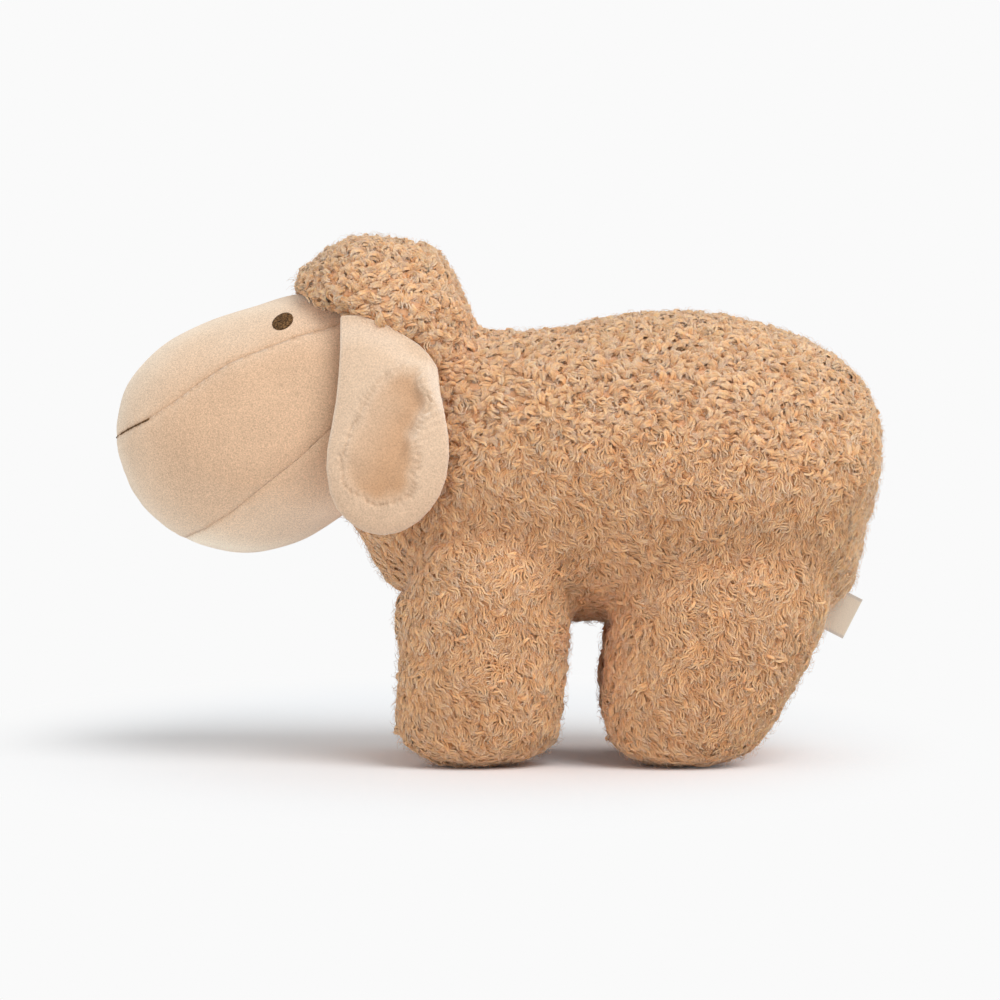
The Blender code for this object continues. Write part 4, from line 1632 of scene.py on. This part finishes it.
@dataclass
class Face:
    """Velour head: brow, cheeks and chin between curved seams, with stitched eyes and mouth."""

    nose_x: float = -154.3 * MM
    length: float = 131 * MM
    chin_z: float = 80 * MM
    height: float = 108 * MM
    width: float = 94 * MM
    sides: int = 10
    levels: int = 4
    shares: tuple = (
        (0.000, 0.47, 0.47, 0.00), (0.035, 0.29, 0.65, 0.42), (0.125, 0.13, 0.77, 0.68),
        (0.270, 0.03, 0.89, 0.89), (0.430, 0.00, 0.965, 1.00), (0.590, 0.06, 1.00, 1.00),
        (0.740, 0.18, 1.00, 0.90), (0.890, 0.33, 0.94, 0.70), (1.000, 0.64, 0.64, 0.00),
    )
    # x and z in millimetres along each seam, from the front to the back
    upper_seam: tuple = ((-175, 112), (-156, 126.4), (-151.5, 129.2), (-147, 132.2), (-143, 134.2), (-138.5, 136.4),
                         (-128, 143.2), (-117.6, 151.2), (-105, 159.4), (-90, 165.4), (-76, 170.4),
                         (-55, 176.5), (-20, 184))
    lower_seam: tuple = ((-170, 66), (-140, 80), (-123, 89.6), (-116, 93.2), (-104, 100.5), (-92, 110.6),
                         (-78, 121.5), (-68, 131), (-50, 148), (-20, 175))
    seam_gap: float = 0.005 * MM
    groove_depth: float = 0.32 * MM
    groove_width: float = 1.2 * MM
    # painted shade in a band along each seam, where the nap also parts
    seam_shade_and_parting: float = 0.17
    parting_width: float = 0.7 * MM
    crease_depth: float = 0.12 * MM
    crease_pitch: float = 7.5 * MM
    crease_reach: float = 5 * MM
    swell: float = 0.25 * MM
    cloth: float = 1.3 * MM
    # painted shade for each panel: some on the brow and cheeks and none on the chin, which leaves the chin lighter
    # as if lit from below
    panel_painted_shades: tuple = (("brow", 0.14), ("chin", 0.0), ("cheek", 0.16))
    # a row for let_out: the forehead
    fits: tuple = ((-102, 186, 19, 16, 0, -2.0),)
    thread_radius: float = 0.26 * MM
    thread_sides: int = 6
    rings: int = 9
    eye_x: float = -85 * MM
    eye_z: float = 175 * MM
    eye_length: float = 8.6 * MM
    eye_height: float = 6.3 * MM
    eye_tilt: float = math.radians(28)
    eye_threads: int = 23
    eye_pad: float = 0.6 * MM
    mouth_stitches: int = 15
    mouth_reach: float = 29.5 * MM
    mouth_sink: float = 0.45 * MM
    ply_radius: float = 0.14 * MM

    def build(self, finishes: Finishes) -> None:
        """Make the four panels, the eyes and the mouth.

        Args:
            finishes: The materials.
        """
        form = RingForm.lengthwise(self.nose_x, self.length, self.chin_z, self.height, self.width,
                                   self.shares, self.sides).build("head_form", self.levels)
        upper, lower = self._seam(self.upper_seam), self._seam(self.lower_seam)

        def held(places: np.ndarray) -> np.ndarray:
            """How firmly the seams and the neck hold each place."""
            back = ease(places[:, 0], -60 * MM, -45 * MM)
            near = np.minimum(np.abs(upper(places)), np.abs(lower(places)))
            return np.maximum(back, bell(near, 2.5 * MM))

        StuffedCloth(cap=0.9 * MM).press(form, held)
        set_points(form, let_out(points_of(form), self.fits))
        panel_painted_shades = dict(self.panel_painted_shades)
        self._panel(form, "brow", ((upper, True),), panel_painted_shades["brow"], finishes)
        self._panel(form, "chin", ((lower, False),), panel_painted_shades["chin"], finishes)
        for side, sign in SIDES.items():
            bounds = ((upper, False), (lower, True), (self._centre(sign), True))
            self._panel(form, "cheek_" + side, bounds, panel_painted_shades["cheek"], finishes)
        tree = Surface.of(form).tree()
        for side, sign in SIDES.items():
            self._eye(tree, side, sign, finishes)
        self._mouth(tree, finishes)
        bpy.data.objects.remove(form, do_unlink=True)

    @staticmethod
    def _seam(stops: Sequence[tuple[float, float]]) -> Callable[[np.ndarray], np.ndarray]:
        """Height above a seam that runs along the head.

        Args:
            stops: Places of the seam.

        Returns:
            Function of places, which gives their height above the seam.
        """
        along, high = np.array(stops).T * MM
        grid = np.arange(along[0], along[-1], 0.5 * MM)
        line = np.interp(grid, along, high)
        window = np.hanning(15)
        padded = np.pad(line, len(window) // 2, mode="reflect", reflect_type="odd")
        line = np.convolve(padded, window / window.sum(), "valid")
        return lambda places: places[:, 2] - np.interp(places[:, 0], grid, line)

    @staticmethod
    def _centre(sign: int) -> Callable[[np.ndarray], np.ndarray]:
        """Function of places, which gives how far they lie to one side of the middle."""
        return lambda places: sign * places[:, 1]

    def _panel(self, form: bpy.types.Object, name: str, bounds: Sequence[tuple[Callable, bool]],
               lie: float, finishes: Finishes) -> None:
        """Cut one panel from the head and roll its edges into the seams.

        Args:
            form: The whole head.
            name: Name of the panel without its ending.
            bounds: Seams with the side that stays.
            lie: How much painted shade the whole panel gets, from 0 to 1.
            finishes: The materials.
        """
        piece = add_object(name + "_velour", form.data.copy())
        for height, keep_above in bounds:
            split(piece, height, keep_above, self.seam_gap)
        points, normals = points_of(piece), normals_of(piece)
        sink, crease, seam_shade_and_parting = np.zeros((3, len(points)))
        turns = points[:, 0] / self.crease_pitch
        ripple = np.sin(2 * np.pi * turns + 2.5 * WaveNoise(18 * MM, 83).at(points))
        for height, _ in bounds:
            step = 0.5 * MM
            slope = np.stack([height(points + step * axis) - height(points - step * axis)
                              for axis in np.eye(3)], 1) / (2 * step)
            distance = np.abs(height(points)) / np.linalg.norm(slope, axis=1)
            sink += self.groove_depth * bell(distance, self.groove_width)
            seam_shade_and_parting += self.seam_shade_and_parting * bell(distance, self.parting_width)
            crease += self.crease_depth * ripple * bell(distance, self.crease_reach)
        swell = self.swell * WaveNoise(30 * MM, 89).at(points)
        set_points(piece, points + (swell + crease - sink)[:, None] * normals)
        # painted shade: the panel's own share, and a darker band along its seams where the nap also parts
        store(piece, "depth", np.clip(lie + seam_shade_and_parting, 0, 1))
        thicken(piece, self.cloth)
        panel, *side = name.split("_")
        dress(piece, finishes.velour, Body.SHEEP, ["_".join([panel, "panel", *side])])

    def _eye(self, tree: BVHTree, side: str, sign: int, finishes: Finishes) -> None:
        """Satin-stitched oval of threads that lie side by side.

        Args:
            tree: Search tree over the head.
            side: left or right.
            sign: -1 for the left side and 1 for the right.
            finishes: The materials.
        """
        long_way = Vector((math.cos(self.eye_tilt), 0, math.sin(self.eye_tilt)))
        short_way = Vector((-math.sin(self.eye_tilt), 0, math.cos(self.eye_tilt)))
        outside = 200 * MM
        centre = Vector((self.eye_x, sign * outside, self.eye_z))
        paths = []
        for thread in range(self.eye_threads):
            share = 2 * (thread + 0.5) / self.eye_threads - 1
            reach = self.eye_height / 2 * math.sqrt(1 - share * share)
            row = []
            for step in range(self.rings):
                over = 2 * step / (self.rings - 1) - 1
                spot = centre + share * self.eye_length / 2 * long_way + over * reach * short_way
                place, normal, _, _ = tree.ray_cast(spot, Vector((0, -sign, 0)))
                domed = math.sqrt(max(0, 1 - over ** 4)) * math.sqrt(1 - share ** 4)
                row.append(place + (0.05 * MM + self.eye_pad * domed) * normal)
            paths.append(row)
        radii = np.full((len(paths), self.rings), self.thread_radius)
        self._sew(side + "_eye_stitches", np.array(paths, float), radii, np.array(long_way), side + "_eye", finishes)

    def _sew(self, name: str, paths: np.ndarray, radii: np.ndarray, across: np.ndarray, node: str,
             finishes: Finishes) -> None:
        """Make threads along paths.

        Args:
            name: Name of the piece.
            paths: Ring middles, as thread, ring, place.
            radii: Radius of each ring, as thread, ring.
            across: A direction roughly square to every thread.
            node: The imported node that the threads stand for.
            finishes: The materials.
        """
        points, faces = tubes(paths, radii, np.tile(across, (len(paths), 1)), self.thread_sides)
        piece = mesh_object(name, points, faces)
        bake_grid(piece, len(paths), self.rings, self.thread_sides)
        dress(piece, finishes.brown_thread, Body.SHEEP, [node])

    def _mouth(self, tree: BVHTree, finishes: Finishes) -> None:
        """Row of two-ply stitches in the seam round the front of the muzzle.

        Args:
            tree: Search tree over the head.
            finishes: The materials.
        """
        seam = self._seam(self.upper_seam)
        before = -250 * MM
        up_seam = np.array([0.5, 0, 0.85])
        paths, shares = [], np.linspace(-1, 1, self.mouth_stitches + 1)
        for start, end in zip(shares[:-1], shares[1:]):
            row = []
            for share in np.arange(self.rings) / (self.rings - 1):
                y = self.mouth_reach * math.sin((start + (end - start) * share) * math.pi / 2)
                spot = np.array([[self.nose_x, y, 0.0]])
                # the seam's height depends on x, and the skin's x on the height, so they meet step by step
                for _ in range(8):
                    spot[0, 2] = 0
                    spot[0, 2] = -seam(spot)[0]
                    hit = tree.ray_cast(Vector((before, y, spot[0, 2])), Vector((1, 0, 0)))
                    spot[0, 0] = (spot[0, 0] + hit[0].x) / 2
                lift = (0.14 * math.sin(math.pi * share) - 0.05) * MM
                row.append(hit[0] + (lift - self.mouth_sink * math.exp(-(y / (9 * MM)) ** 2)) * hit[1])
            paths.append(row)
        paths = np.array(paths, float)
        plies = []
        turn = np.linspace(0, 2.2 * np.pi, self.rings)
        along_path = unit(np.gradient(paths, axis=1))
        out = unit(np.cross(along_path, up_seam))
        third = np.cross(along_path, out)
        for phase in (0, np.pi):
            offset = np.cos(turn + phase)[None, :, None] * out + np.sin(turn + phase)[None, :, None] * third
            plies.append(paths + self.ply_radius * offset)
        paths = np.concatenate(plies)
        profile = 0.6 + 0.45 * np.sin(np.pi * np.linspace(0.08, 0.92, self.rings))
        radii = np.tile(self.thread_radius * profile, (len(paths), 1))
        self._sew("mouth_thread", paths, radii, up_seam, "mouth_stitch", finishes)


class SewnLoop:
    """Closed line of stitches on a sheet, seen along Y."""

    def __init__(self, stops: Sequence[tuple[float, float]]) -> None:
        """Keep the line's stretches.

        Args:
            stops: x and z along the line, in millimetres.
        """
        self.stops = np.array(stops) * MM
        self.steps = np.roll(self.stops, -1, axis=0) - self.stops
        self.lengths = np.linalg.norm(self.steps, axis=1)
        self.before = np.cumsum(self.lengths) - self.lengths

    def read(self, places: np.ndarray) -> tuple[np.ndarray, np.ndarray]:
        """Distance inside the loop and place along it.

        Args:
            places: x and z, one a row.

        Returns:
            Distances, which are negative outside, and lengths along the line.
        """
        offset = places[:, None, :] - self.stops
        share = np.clip((offset * self.steps).sum(-1) / self.lengths ** 2, 0, 1)
        away = np.linalg.norm(offset - share[:, :, None] * self.steps, axis=-1)
        nearest = away.argmin(1)
        rows = np.arange(len(places))
        x, z = places.T[:, :, None]
        (x0, z0), (x1, z1) = self.stops.T, np.roll(self.stops, -1, axis=0).T
        crossed = ((z0 > z) != (z1 > z)) & (x < x0 + (z - z0) / (z1 - z0 + 1e-12) * (x1 - x0))
        inside = crossed.sum(1) % 2 == 1
        along = self.before[nearest] + share[rows, nearest] * self.lengths[nearest]
        return np.where(inside, 1, -1) * away[rows, nearest], along


def track(stops: Sequence[tuple[float, float]], values: np.ndarray, turn: bool = False) -> np.ndarray:
    """Read a line of stops, given in millimetres, at values of its first coordinate.

    Args:
        stops: Pairs along the line.
        values: Where to read it, in metres.
        turn: Whether to read the first coordinate against the second instead.

    Returns:
        The other coordinate, in metres.
    """
    keys, others = np.array(stops).T[::-1 if turn else 1] * MM
    order = np.argsort(keys)
    return np.interp(values, keys[order], others[order])


@dataclass
class Ear:
    """Lop ear: two velour covers round a thin pad, hung from its sewn root."""

    side: str
    sign: int
    tip_z: float = 92 * MM
    height: float = 100 * MM
    middle_x: float = -43.5 * MM
    width: float = 50 * MM
    thickness: float = 9.5 * MM
    sides: int = 8
    levels: int = 5
    root_y: float = 45 * MM
    lean: float = 11 * MM
    fall: float = math.radians(25)
    root_pull: float = 5.5 * MM
    root_reach: float = 17 * MM
    cloth: float = 1.1 * MM
    gap: float = 0.08 * MM
    pad_gap: float = 0.6 * MM
    tip_reach: float = 35 * MM
    hollow: float = 1.2 * MM
    crease: float = 2.5 * MM
    ridge: float = 0.9 * MM
    ridge_behind: float = 6 * MM
    pucker: float = 0.42 * MM
    pucker_pitch: float = 2.5 * MM
    stitch_sink: float = 0.5 * MM
    gathers: float = 0.3 * MM
    gathers_at: tuple[float, float] = (-26 * MM, 137 * MM)
    gathers_pitch: float = 3.6 * MM
    waves: float = 0.25 * MM
    slices: int = 90
    # rows of height, front, back, thickness and lean
    shares: tuple = (
        (0.00, -0.05, -0.05, 0.00, 0.90), (0.07, -0.37, 0.31, 0.80, 0.96), (0.24, -0.49, 0.48, 1.00, 1.00),
        (0.44, -0.46, 0.51, 0.90, 0.84), (0.64, -0.41, 0.47, 0.72, 0.56), (0.83, -0.38, 0.40, 0.48, 0.16),
        (1.00, -0.10, -0.10, 0.00, 0.00),
    )
    # x and z in millimetres: both edges from the root down, the sewn root, the inner seam and the fold
    front_edge: tuple = ((-61.6, 192), (-61.9, 173.6), (-61.8, 164.1), (-62.3, 154.6), (-63.2, 145.1),
                         (-64.8, 135.6), (-66.5, 126.1), (-67, 118), (-65.8, 108.8), (-62.8, 102),
                         (-57.5, 96.6), (-52.3, 93.4), (-48.5, 92.4), (-44.5, 92.1))
    back_edge: tuple = ((-24, 192), (-23.8, 158), (-22.7, 148.3), (-21, 140.1), (-19.4, 130.6), (-19.1, 123),
                        (-20, 114.7), (-22.5, 107.8), (-26.3, 102.1), (-31.4, 97), (-37.6, 93.4),
                        (-41, 92.4), (-44.5, 92.1))
    root_line: tuple = ((-70, 172), (-64, 175), (-61, 177.4), (-54, 177.6), (-44, 174), (-38, 170.6),
                        (-31.5, 166.4), (-27.5, 162.6), (-24.6, 158.5), (-22, 153))
    inner_seam: tuple = ((-37.9, 157.1), (-43.7, 155.2), (-48.8, 148.8), (-53.5, 142.4), (-56.6, 135.9),
                         (-59.8, 128.2), (-61.6, 120.6), (-61.2, 114.7), (-58.5, 110.1), (-53.5, 106.2),
                         (-48.2, 104.4), (-41, 105), (-36, 107), (-32.9, 111.4), (-30.9, 117.9),
                         (-31.6, 125.6), (-32.3, 132), (-30.1, 137.3), (-26.8, 141.2), (-27, 145.1),
                         (-29.2, 149.2), (-30, 152.5), (-31.5, 157))
    fold: tuple = ((-31.6, 160), (-33.6, 153.4), (-33.2, 149), (-31.6, 145), (-31.4, 141.5), (-34, 137),
                   (-36.5, 131.2), (-38.6, 126.1), (-42, 118), (-45, 111))
    hinge: Point = (-43.5 * MM, 47.375 * MM, 169.563 * MM)

    def build(self, finishes: Finishes) -> None:
        """Make the covers and the pad.

        Args:
            finishes: The materials.
        """
        body = Body(self.side + "_ear")
        whole = self._form()
        StuffedCloth(voxel=4 * MM).press(whole, self._held)
        for face, outside in (("front", True), ("back", False)):
            piece = add_object(f"{self.side}_ear_{face}_velour", whole.data.copy())
            split(piece, self._outward, outside, self.gap)
            self._shape(piece, outside)
            self._cut_root(piece)
            thicken(piece, self.cloth)
            dress(piece, finishes.ear_velour, None, [f"{self.side}_ear_{face}"])
            self._hang(piece, body)
        whole.name = self.side + "_ear_pad"
        self._flatten(whole)
        self._cut_root(whole)
        dress(whole, finishes.filling, None, [self.side + "_ear_wadding"])
        self._hang(whole, body)

    def _form(self) -> bpy.types.Object:
        """The ear's whole form, let out or taken in to its two edges.

        Returns:
            The object.
        """
        rings = []
        for high, front, back, thick, lean in self.shares:
            centre = np.array([self.middle_x + (front + back) / 2 * self.width,
                               self.sign * (self.root_y + lean * self.lean), self.tip_z + high * self.height])
            rings.append((centre, np.array([(back - front) / 2 * self.width, 0, 0]),
                          np.array([0, thick * self.thickness / 2, 0])))
        form = RingForm(tuple(rings), self.sides).build(self.side + "_ear_form", self.levels)
        points = points_of(form)
        # its own front and back edge at every height, from slices that hold two rings or more
        slices = [points[chosen] for chosen in np.array_split(np.argsort(points[:, 2]), self.slices)]
        heights = [part[:, 2].mean() for part in slices]
        least = np.interp(points[:, 2], heights, [part[:, 0].min() for part in slices])
        most = np.interp(points[:, 2], heights, [part[:, 0].max() for part in slices])
        low = points[:, 2].min()
        points[:, 2] += (self.tip_z + 0.15 * MM - low) * (1 - ease(points[:, 2], low, low + self.tip_reach))
        front = track(self.front_edge, points[:, 2], turn=True)
        back = track(self.back_edge, points[:, 2], turn=True)
        share = (points[:, 0] - least) / (most - least)
        points[:, 0] = front + share * (back - front)
        set_points(form, points)
        return form

    def _outward(self, places: np.ndarray) -> np.ndarray:
        """Distance outside the ear's middle surface.

        Args:
            places: Places, one a row.

        Returns:
            One distance for each place.
        """
        high = np.array([row[0] for row in self.shares]) * self.height + self.tip_z
        lean = np.array([row[-1] for row in self.shares]) * self.lean + self.root_y
        return self.sign * places[:, 1] - np.interp(places[:, 2], high, lean)

    def _held(self, places: np.ndarray) -> np.ndarray:
        """How firmly the rim, the inner seam and the root hold each place of the cover.

        Args:
            places: Places, one a row.

        Returns:
            One value for each place.
        """
        inside, _ = SewnLoop(self.inner_seam).read(places[:, ::2])
        rim = bell(self._outward(places), 1.2 * MM)
        root = ease(self._above_root(places), -6 * MM, 0)
        return np.maximum(np.maximum(rim, root), bell(inside, 2 * MM))

    def _above_root(self, places: np.ndarray) -> np.ndarray:
        """Height above the ear's sewn root, just under the hood's edge.

        Args:
            places: Places, one a row.

        Returns:
            One height for each place.
        """
        return places[:, 2] - track(self.root_line, places[:, 0])

    def _cut_root(self, piece: bpy.types.Object) -> None:
        """Cut a piece at the sewn root and draw its top in to the head.

        Args:
            piece: A cover or the pad.
        """
        split(piece, self._above_root, False)
        points = points_of(piece)
        near = ease(self._above_root(points), -self.root_reach, 0)
        points[:, 1] -= self.sign * self.root_pull * near ** 1.5
        set_points(piece, points)

    def _dents(self, points: np.ndarray) -> np.ndarray:
        """Depth of the hollow and of the fold that runs down it.

        Args:
            points: Places, one a row.

        Returns:
            One depth for each place.
        """
        inside, _ = SewnLoop(self.inner_seam).read(points[:, ::2])
        hollow = self.hollow * ease(inside, -1.5 * MM, 6 * MM)
        behind = points[:, 0] - track(self.fold, points[:, 2], turn=True)
        valley = np.where(behind < 0, bell(behind, 8 * MM), bell(behind, 2.6 * MM))
        ridge = bell(behind - self.ridge_behind, 3.5 * MM)
        reach = ease(points[:, 2], 108 * MM, 134 * MM) * ease(-points[:, 2], -168 * MM, -160 * MM)
        return hollow + (self.crease * valley - self.ridge * ridge) * reach

    def _shape(self, piece: bpy.types.Object, outside: bool) -> None:
        """Give a cover its puckered seam and painted shade, and the outer one its hollow and fold.

        Args:
            piece: The cover.
            outside: Whether it faces out.
        """
        points, normals = points_of(piece), normals_of(piece)
        inside, along = SewnLoop(self.inner_seam).read(points[:, ::2])
        inside += 0.5 * MM * WaveNoise(9 * MM, 97).at(points)
        turns = 2 * np.pi * along / self.pucker_pitch + 2.2 * WaveNoise(7 * MM, 101).at(points)
        rise = self.pucker * np.sin(turns) * bell(inside, 2.4 * MM) - self.stitch_sink * bell(inside, 0.9 * MM)
        x, z = self.gathers_at
        spot = bell(points[:, 0] - x, 5 * MM) * bell(points[:, 2] - z, 9 * MM)
        slant = points[:, 2] - 0.35 * points[:, 0] + 0.8 * MM * WaveNoise(9 * MM, 107).at(points)
        rise += self.gathers * np.sin(2 * np.pi * slant / self.gathers_pitch) * spot
        rise += self.waves * WaveNoise(17 * MM, 103).at(points) * ease(inside, -4 * MM, 4 * MM)
        faded = ease(-self._above_root(points), 4 * MM, 12 * MM)
        points += (rise * faded)[:, None] * normals
        depth = np.zeros(len(points))
        if outside:
            thin = np.clip(self._outward(points) / (3.0 * MM), 0, 1)
            points[:, 1] -= self.sign * self._dents(points) * thin
            before = np.minimum(points[:, 0] - track(self.fold, points[:, 2], turn=True), 0)
            # painted shade, stored as depth: the outer cover is darker in its hollow, most just before the fold, and
            # in a band along the inner seam
            shade = 0.35 + 0.65 * bell(before, 13 * MM)
            depth = 0.8 * shade * ease(inside, -1 * MM, 6 * MM) + 0.1 * bell(inside, 1.0 * MM)
        # painted shade on both covers, darker towards the bottom of the ear
        depth = np.clip(depth + 0.22 * ease(-points[:, 2], -140 * MM, -95 * MM), 0, 1)
        set_points(piece, points)
        store(piece, "depth", depth)

    def _flatten(self, pad: bpy.types.Object) -> None:
        """Thin the pad, so that it follows the outer cover's hollow and fold.

        Args:
            pad: The ear's whole form.
        """
        points = points_of(pad) - (self.cloth + self.pad_gap) * normals_of(pad)
        out = self._outward(points)
        outer = out > 0
        points[:, 1] += self.sign * (np.where(outer, 0.3, 0.6) * out - out)
        dents = self._dents(points)
        points[:, 1] -= self.sign * np.where(outer, 0.55 * dents + 0.4 * MM, 0.25 * dents)
        set_points(pad, points)

    def _hang(self, piece: bpy.types.Object, body: Body) -> None:
        """Let the ear bend in the cloth just below its root.

        Args:
            piece: A cover or the pad.
            body: The ear's body.
        """
        hinge = Vector((self.hinge[0], self.sign * self.hinge[1], self.hinge[2]))
        down = Vector((-math.sin(self.fall), 0, -math.cos(self.fall)))
        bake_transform(piece, Body.SHEEP.value, body.value, hinge - 3 * MM * down, hinge + 9 * MM * down)


@dataclass
class Label:
    """Folded tab of woven tape in the rump seam."""

    length: float = 17.5 * MM
    depth: float = 11 * MM
    tape: float = 0.35 * MM
    fold_gap: float = 0.5 * MM
    start: float = -0.6 * MM
    bow: float = 0.25 * MM
    rows: int = 14
    fold_rows: int = 7
    columns: int = 37

    def build(self, finishes: Finishes) -> None:
        """Make the tab as one strip of tape that folds back on itself.

        Args:
            finishes: The materials.
        """
        half = self.fold_gap / 2 + self.tape / 2
        end = self.depth - half
        line = [(self.start + (end - self.start) * share, half) for share in np.linspace(0, 1, self.rows)]
        line += [(end + half * math.sin(turn), half * math.cos(turn))
                 for turn in np.linspace(0, math.pi, self.fold_rows + 2)[1:-1]]
        line += [(x, -y) for x, y in reversed(line[:self.rows])]
        line = np.array(line)
        along = unit(np.gradient(line, axis=0))
        out = np.stack([-along[:, 1], along[:, 0]], 1)
        heights = np.linspace(-self.length / 2, self.length / 2, self.columns)
        points = np.zeros((2, len(line), self.columns, 3))
        for sheet, side in zip(points, (1, -1)):
            edge = line + side * self.tape / 2 * out
            sheet[:, :, :2] = edge[:, None]
            sheet[:, :, 2] = heights
        bow = self.bow * np.sin(np.pi * (heights / self.length + 0.5))
        points[..., 1] += bow * np.clip(points[..., 0] / self.depth, 0, 1)
        points = points.reshape(-1, 3)
        index = np.arange(len(points)).reshape(2, len(line), self.columns)

        def skin(grid: np.ndarray) -> np.ndarray:
            """Quads over a grid of point numbers."""
            return np.stack([grid[:-1, :-1], grid[1:, :-1], grid[1:, 1:], grid[:-1, 1:]], -1).reshape(-1, 4)

        rims = (index[:, :, 0], index[:, :, -1][:, ::-1], index[:, 0, ::-1], index[:, -1])
        walls = [skin(index[0]), skin(index[1])[:, ::-1], *(skin(rim) for rim in rims)]
        piece = mesh_object("woven_tab", points, [np.concatenate(walls)], smooth=False)
        face_outwards(piece)
        store(piece, "selvage", ease(np.abs(points[:, 2]), 0.41 * self.length, 0.46 * self.length))
        turn = Matrix.Translation(LABEL_ROOT) @ Matrix.Rotation(LABEL_PITCH, 4, "Y")
        piece.data.transform(turn)
        dress(piece, finishes.tape, Body.LABEL, ["woven_label"])


@dataclass
class Studio:
    """Pale floor, soft light and the camera at the photograph's angle."""

    elevation: float = math.radians(2.5)
    distance: float = 2.0
    aim: Point = (0.6 * MM, 0, 103.5 * MM)
    lens: float = 180.0
    white: Colour = (250, 250, 250)
    ambient: float = 0.62
    key: float = 1.85
    key_spread: float = math.radians(42)
    key_from: Point = (0.6, -0.7, 1.05)
    fill: float = 5.0
    fill_size: float = 1.4
    fill_from: Point = (-0.85, -1.3, 0.06)
    lit: Point = (0, 0, 0.1)
    floor_reach: float = 12.0
    shadow_middle: Point = (-0.02, 0.08, 0)
    shadow_size: tuple[float, float] = (0.215, 0.36)

    def build(self) -> None:
        """Make the camera, the lights, the world and the floor."""
        scene = bpy.context.scene
        scene.view_settings.view_transform = "Standard"
        self._camera(scene)
        self._lights(scene)
        self._floor()

    def _camera(self, scene: bpy.types.Scene) -> None:
        """Add the camera.

        Args:
            scene: The scene.
        """
        camera = add_object("camera", bpy.data.cameras.new("camera"))
        camera.data.lens = self.lens
        camera.data.clip_start = 0.05
        way = Vector((0, -math.cos(self.elevation), math.sin(self.elevation)))
        camera.location = Vector(self.aim) + self.distance * way
        camera.rotation_euler = (-way).to_track_quat("-Z", "Y").to_euler()
        scene.camera = camera

    def _lights(self, scene: bpy.types.Scene) -> None:
        """Add a white world, a soft lamp above and a weak one low in front.

        Args:
            scene: The scene.
        """
        world = bpy.data.worlds.new("studio")
        world.use_nodes = True
        plan = NodePlan(world.node_tree)
        light = world.node_tree.nodes["Background"]
        plan.feed(light, {"Color": (1, 1, 1, 1), "Strength": self.ambient})
        seen = plan.add("Background", {"Color": linear(self.white), "Strength": 1.0})
        mix = plan.add("MixShader", {0: plan.shown(), 1: light.outputs[0], 2: seen.outputs[0]})
        plan.feed(world.node_tree.nodes["World Output"], {"Surface": mix.outputs[0]})
        scene.world = world
        sun = bpy.data.lights.new("key", "SUN")
        sun.energy = self.key
        sun.angle = self.key_spread
        fill = bpy.data.lights.new("fill", "AREA")
        fill.shape = "DISK"
        fill.size = self.fill_size
        fill.energy = self.fill
        for lamp, place in ((sun, self.key_from), (fill, self.fill_from)):
            holder = add_object(lamp.name, lamp)
            holder.location = place
            holder.rotation_euler = (Vector(self.lit) - Vector(place)).to_track_quat("-Z", "Y").to_euler()

    def _floor(self) -> None:
        """Add the floor, which fades to the backdrop's white away from the sheep."""
        corners = self.floor_reach * np.array([(-1, -1, 0), (1, -1, 0), (1, 1, 0), (-1, 1, 0)])
        floor = mesh_object("floor", corners, [np.array([[0, 1, 2, 3]])], smooth=False)
        material, plan, shader = start_material("studio_floor")
        place = plan.add("NewGeometry").outputs["Position"]
        from_middle = plan.add("VectorMath", {0: place, 1: self.shadow_middle}, operation="SUBTRACT")
        scale = tuple(1 / size for size in self.shadow_size) + (0.0,)
        shares = plan.add("VectorMath", {0: from_middle.outputs[0], 1: scale}, operation="MULTIPLY")
        far = plan.add("VectorMath", {0: shares.outputs[0]}, operation="LENGTH").outputs["Value"]
        fade = plan.add("MapRange", {"Value": far, "From Min": 0.5, "From Max": 1.0},
                        interpolation_type="SMOOTHSTEP").outputs[0]
        plan.feed(shader, {"Base Color": (0.85, 0.872, 0.89, 1), "Roughness": 0.9})
        glow = plan.add("Emission", {"Color": linear(self.white), "Strength": 1.0})
        share = plan.math("MULTIPLY", plan.shown(), fade)
        mix = plan.add("MixShader", {0: share, 1: shader.outputs[0], 2: glow.outputs[0]})
        plan.feed(material.node_tree.nodes["Material Output"], {"Surface": mix.outputs[0]})
        floor.data.materials.append(material)


def main() -> None:
    """Build every sub-assembly in order."""
    logging.basicConfig(level=logging.INFO, format="%(message)s")
    finishes = Finishes()
    solids = PackedSolids()
    Studio().build()
    skin = CoatSkin().build()
    FleeceCoat().grow(skin, solids, finishes)
    ClosingStitch().build(skin, finishes)
    Stuffing().build(finishes)
    Face().build(finishes)
    for side, sign in SIDES.items():
        Ear(side, sign).build(finishes)
    Label().build(finishes)


if __name__ == "__main__":
    main()
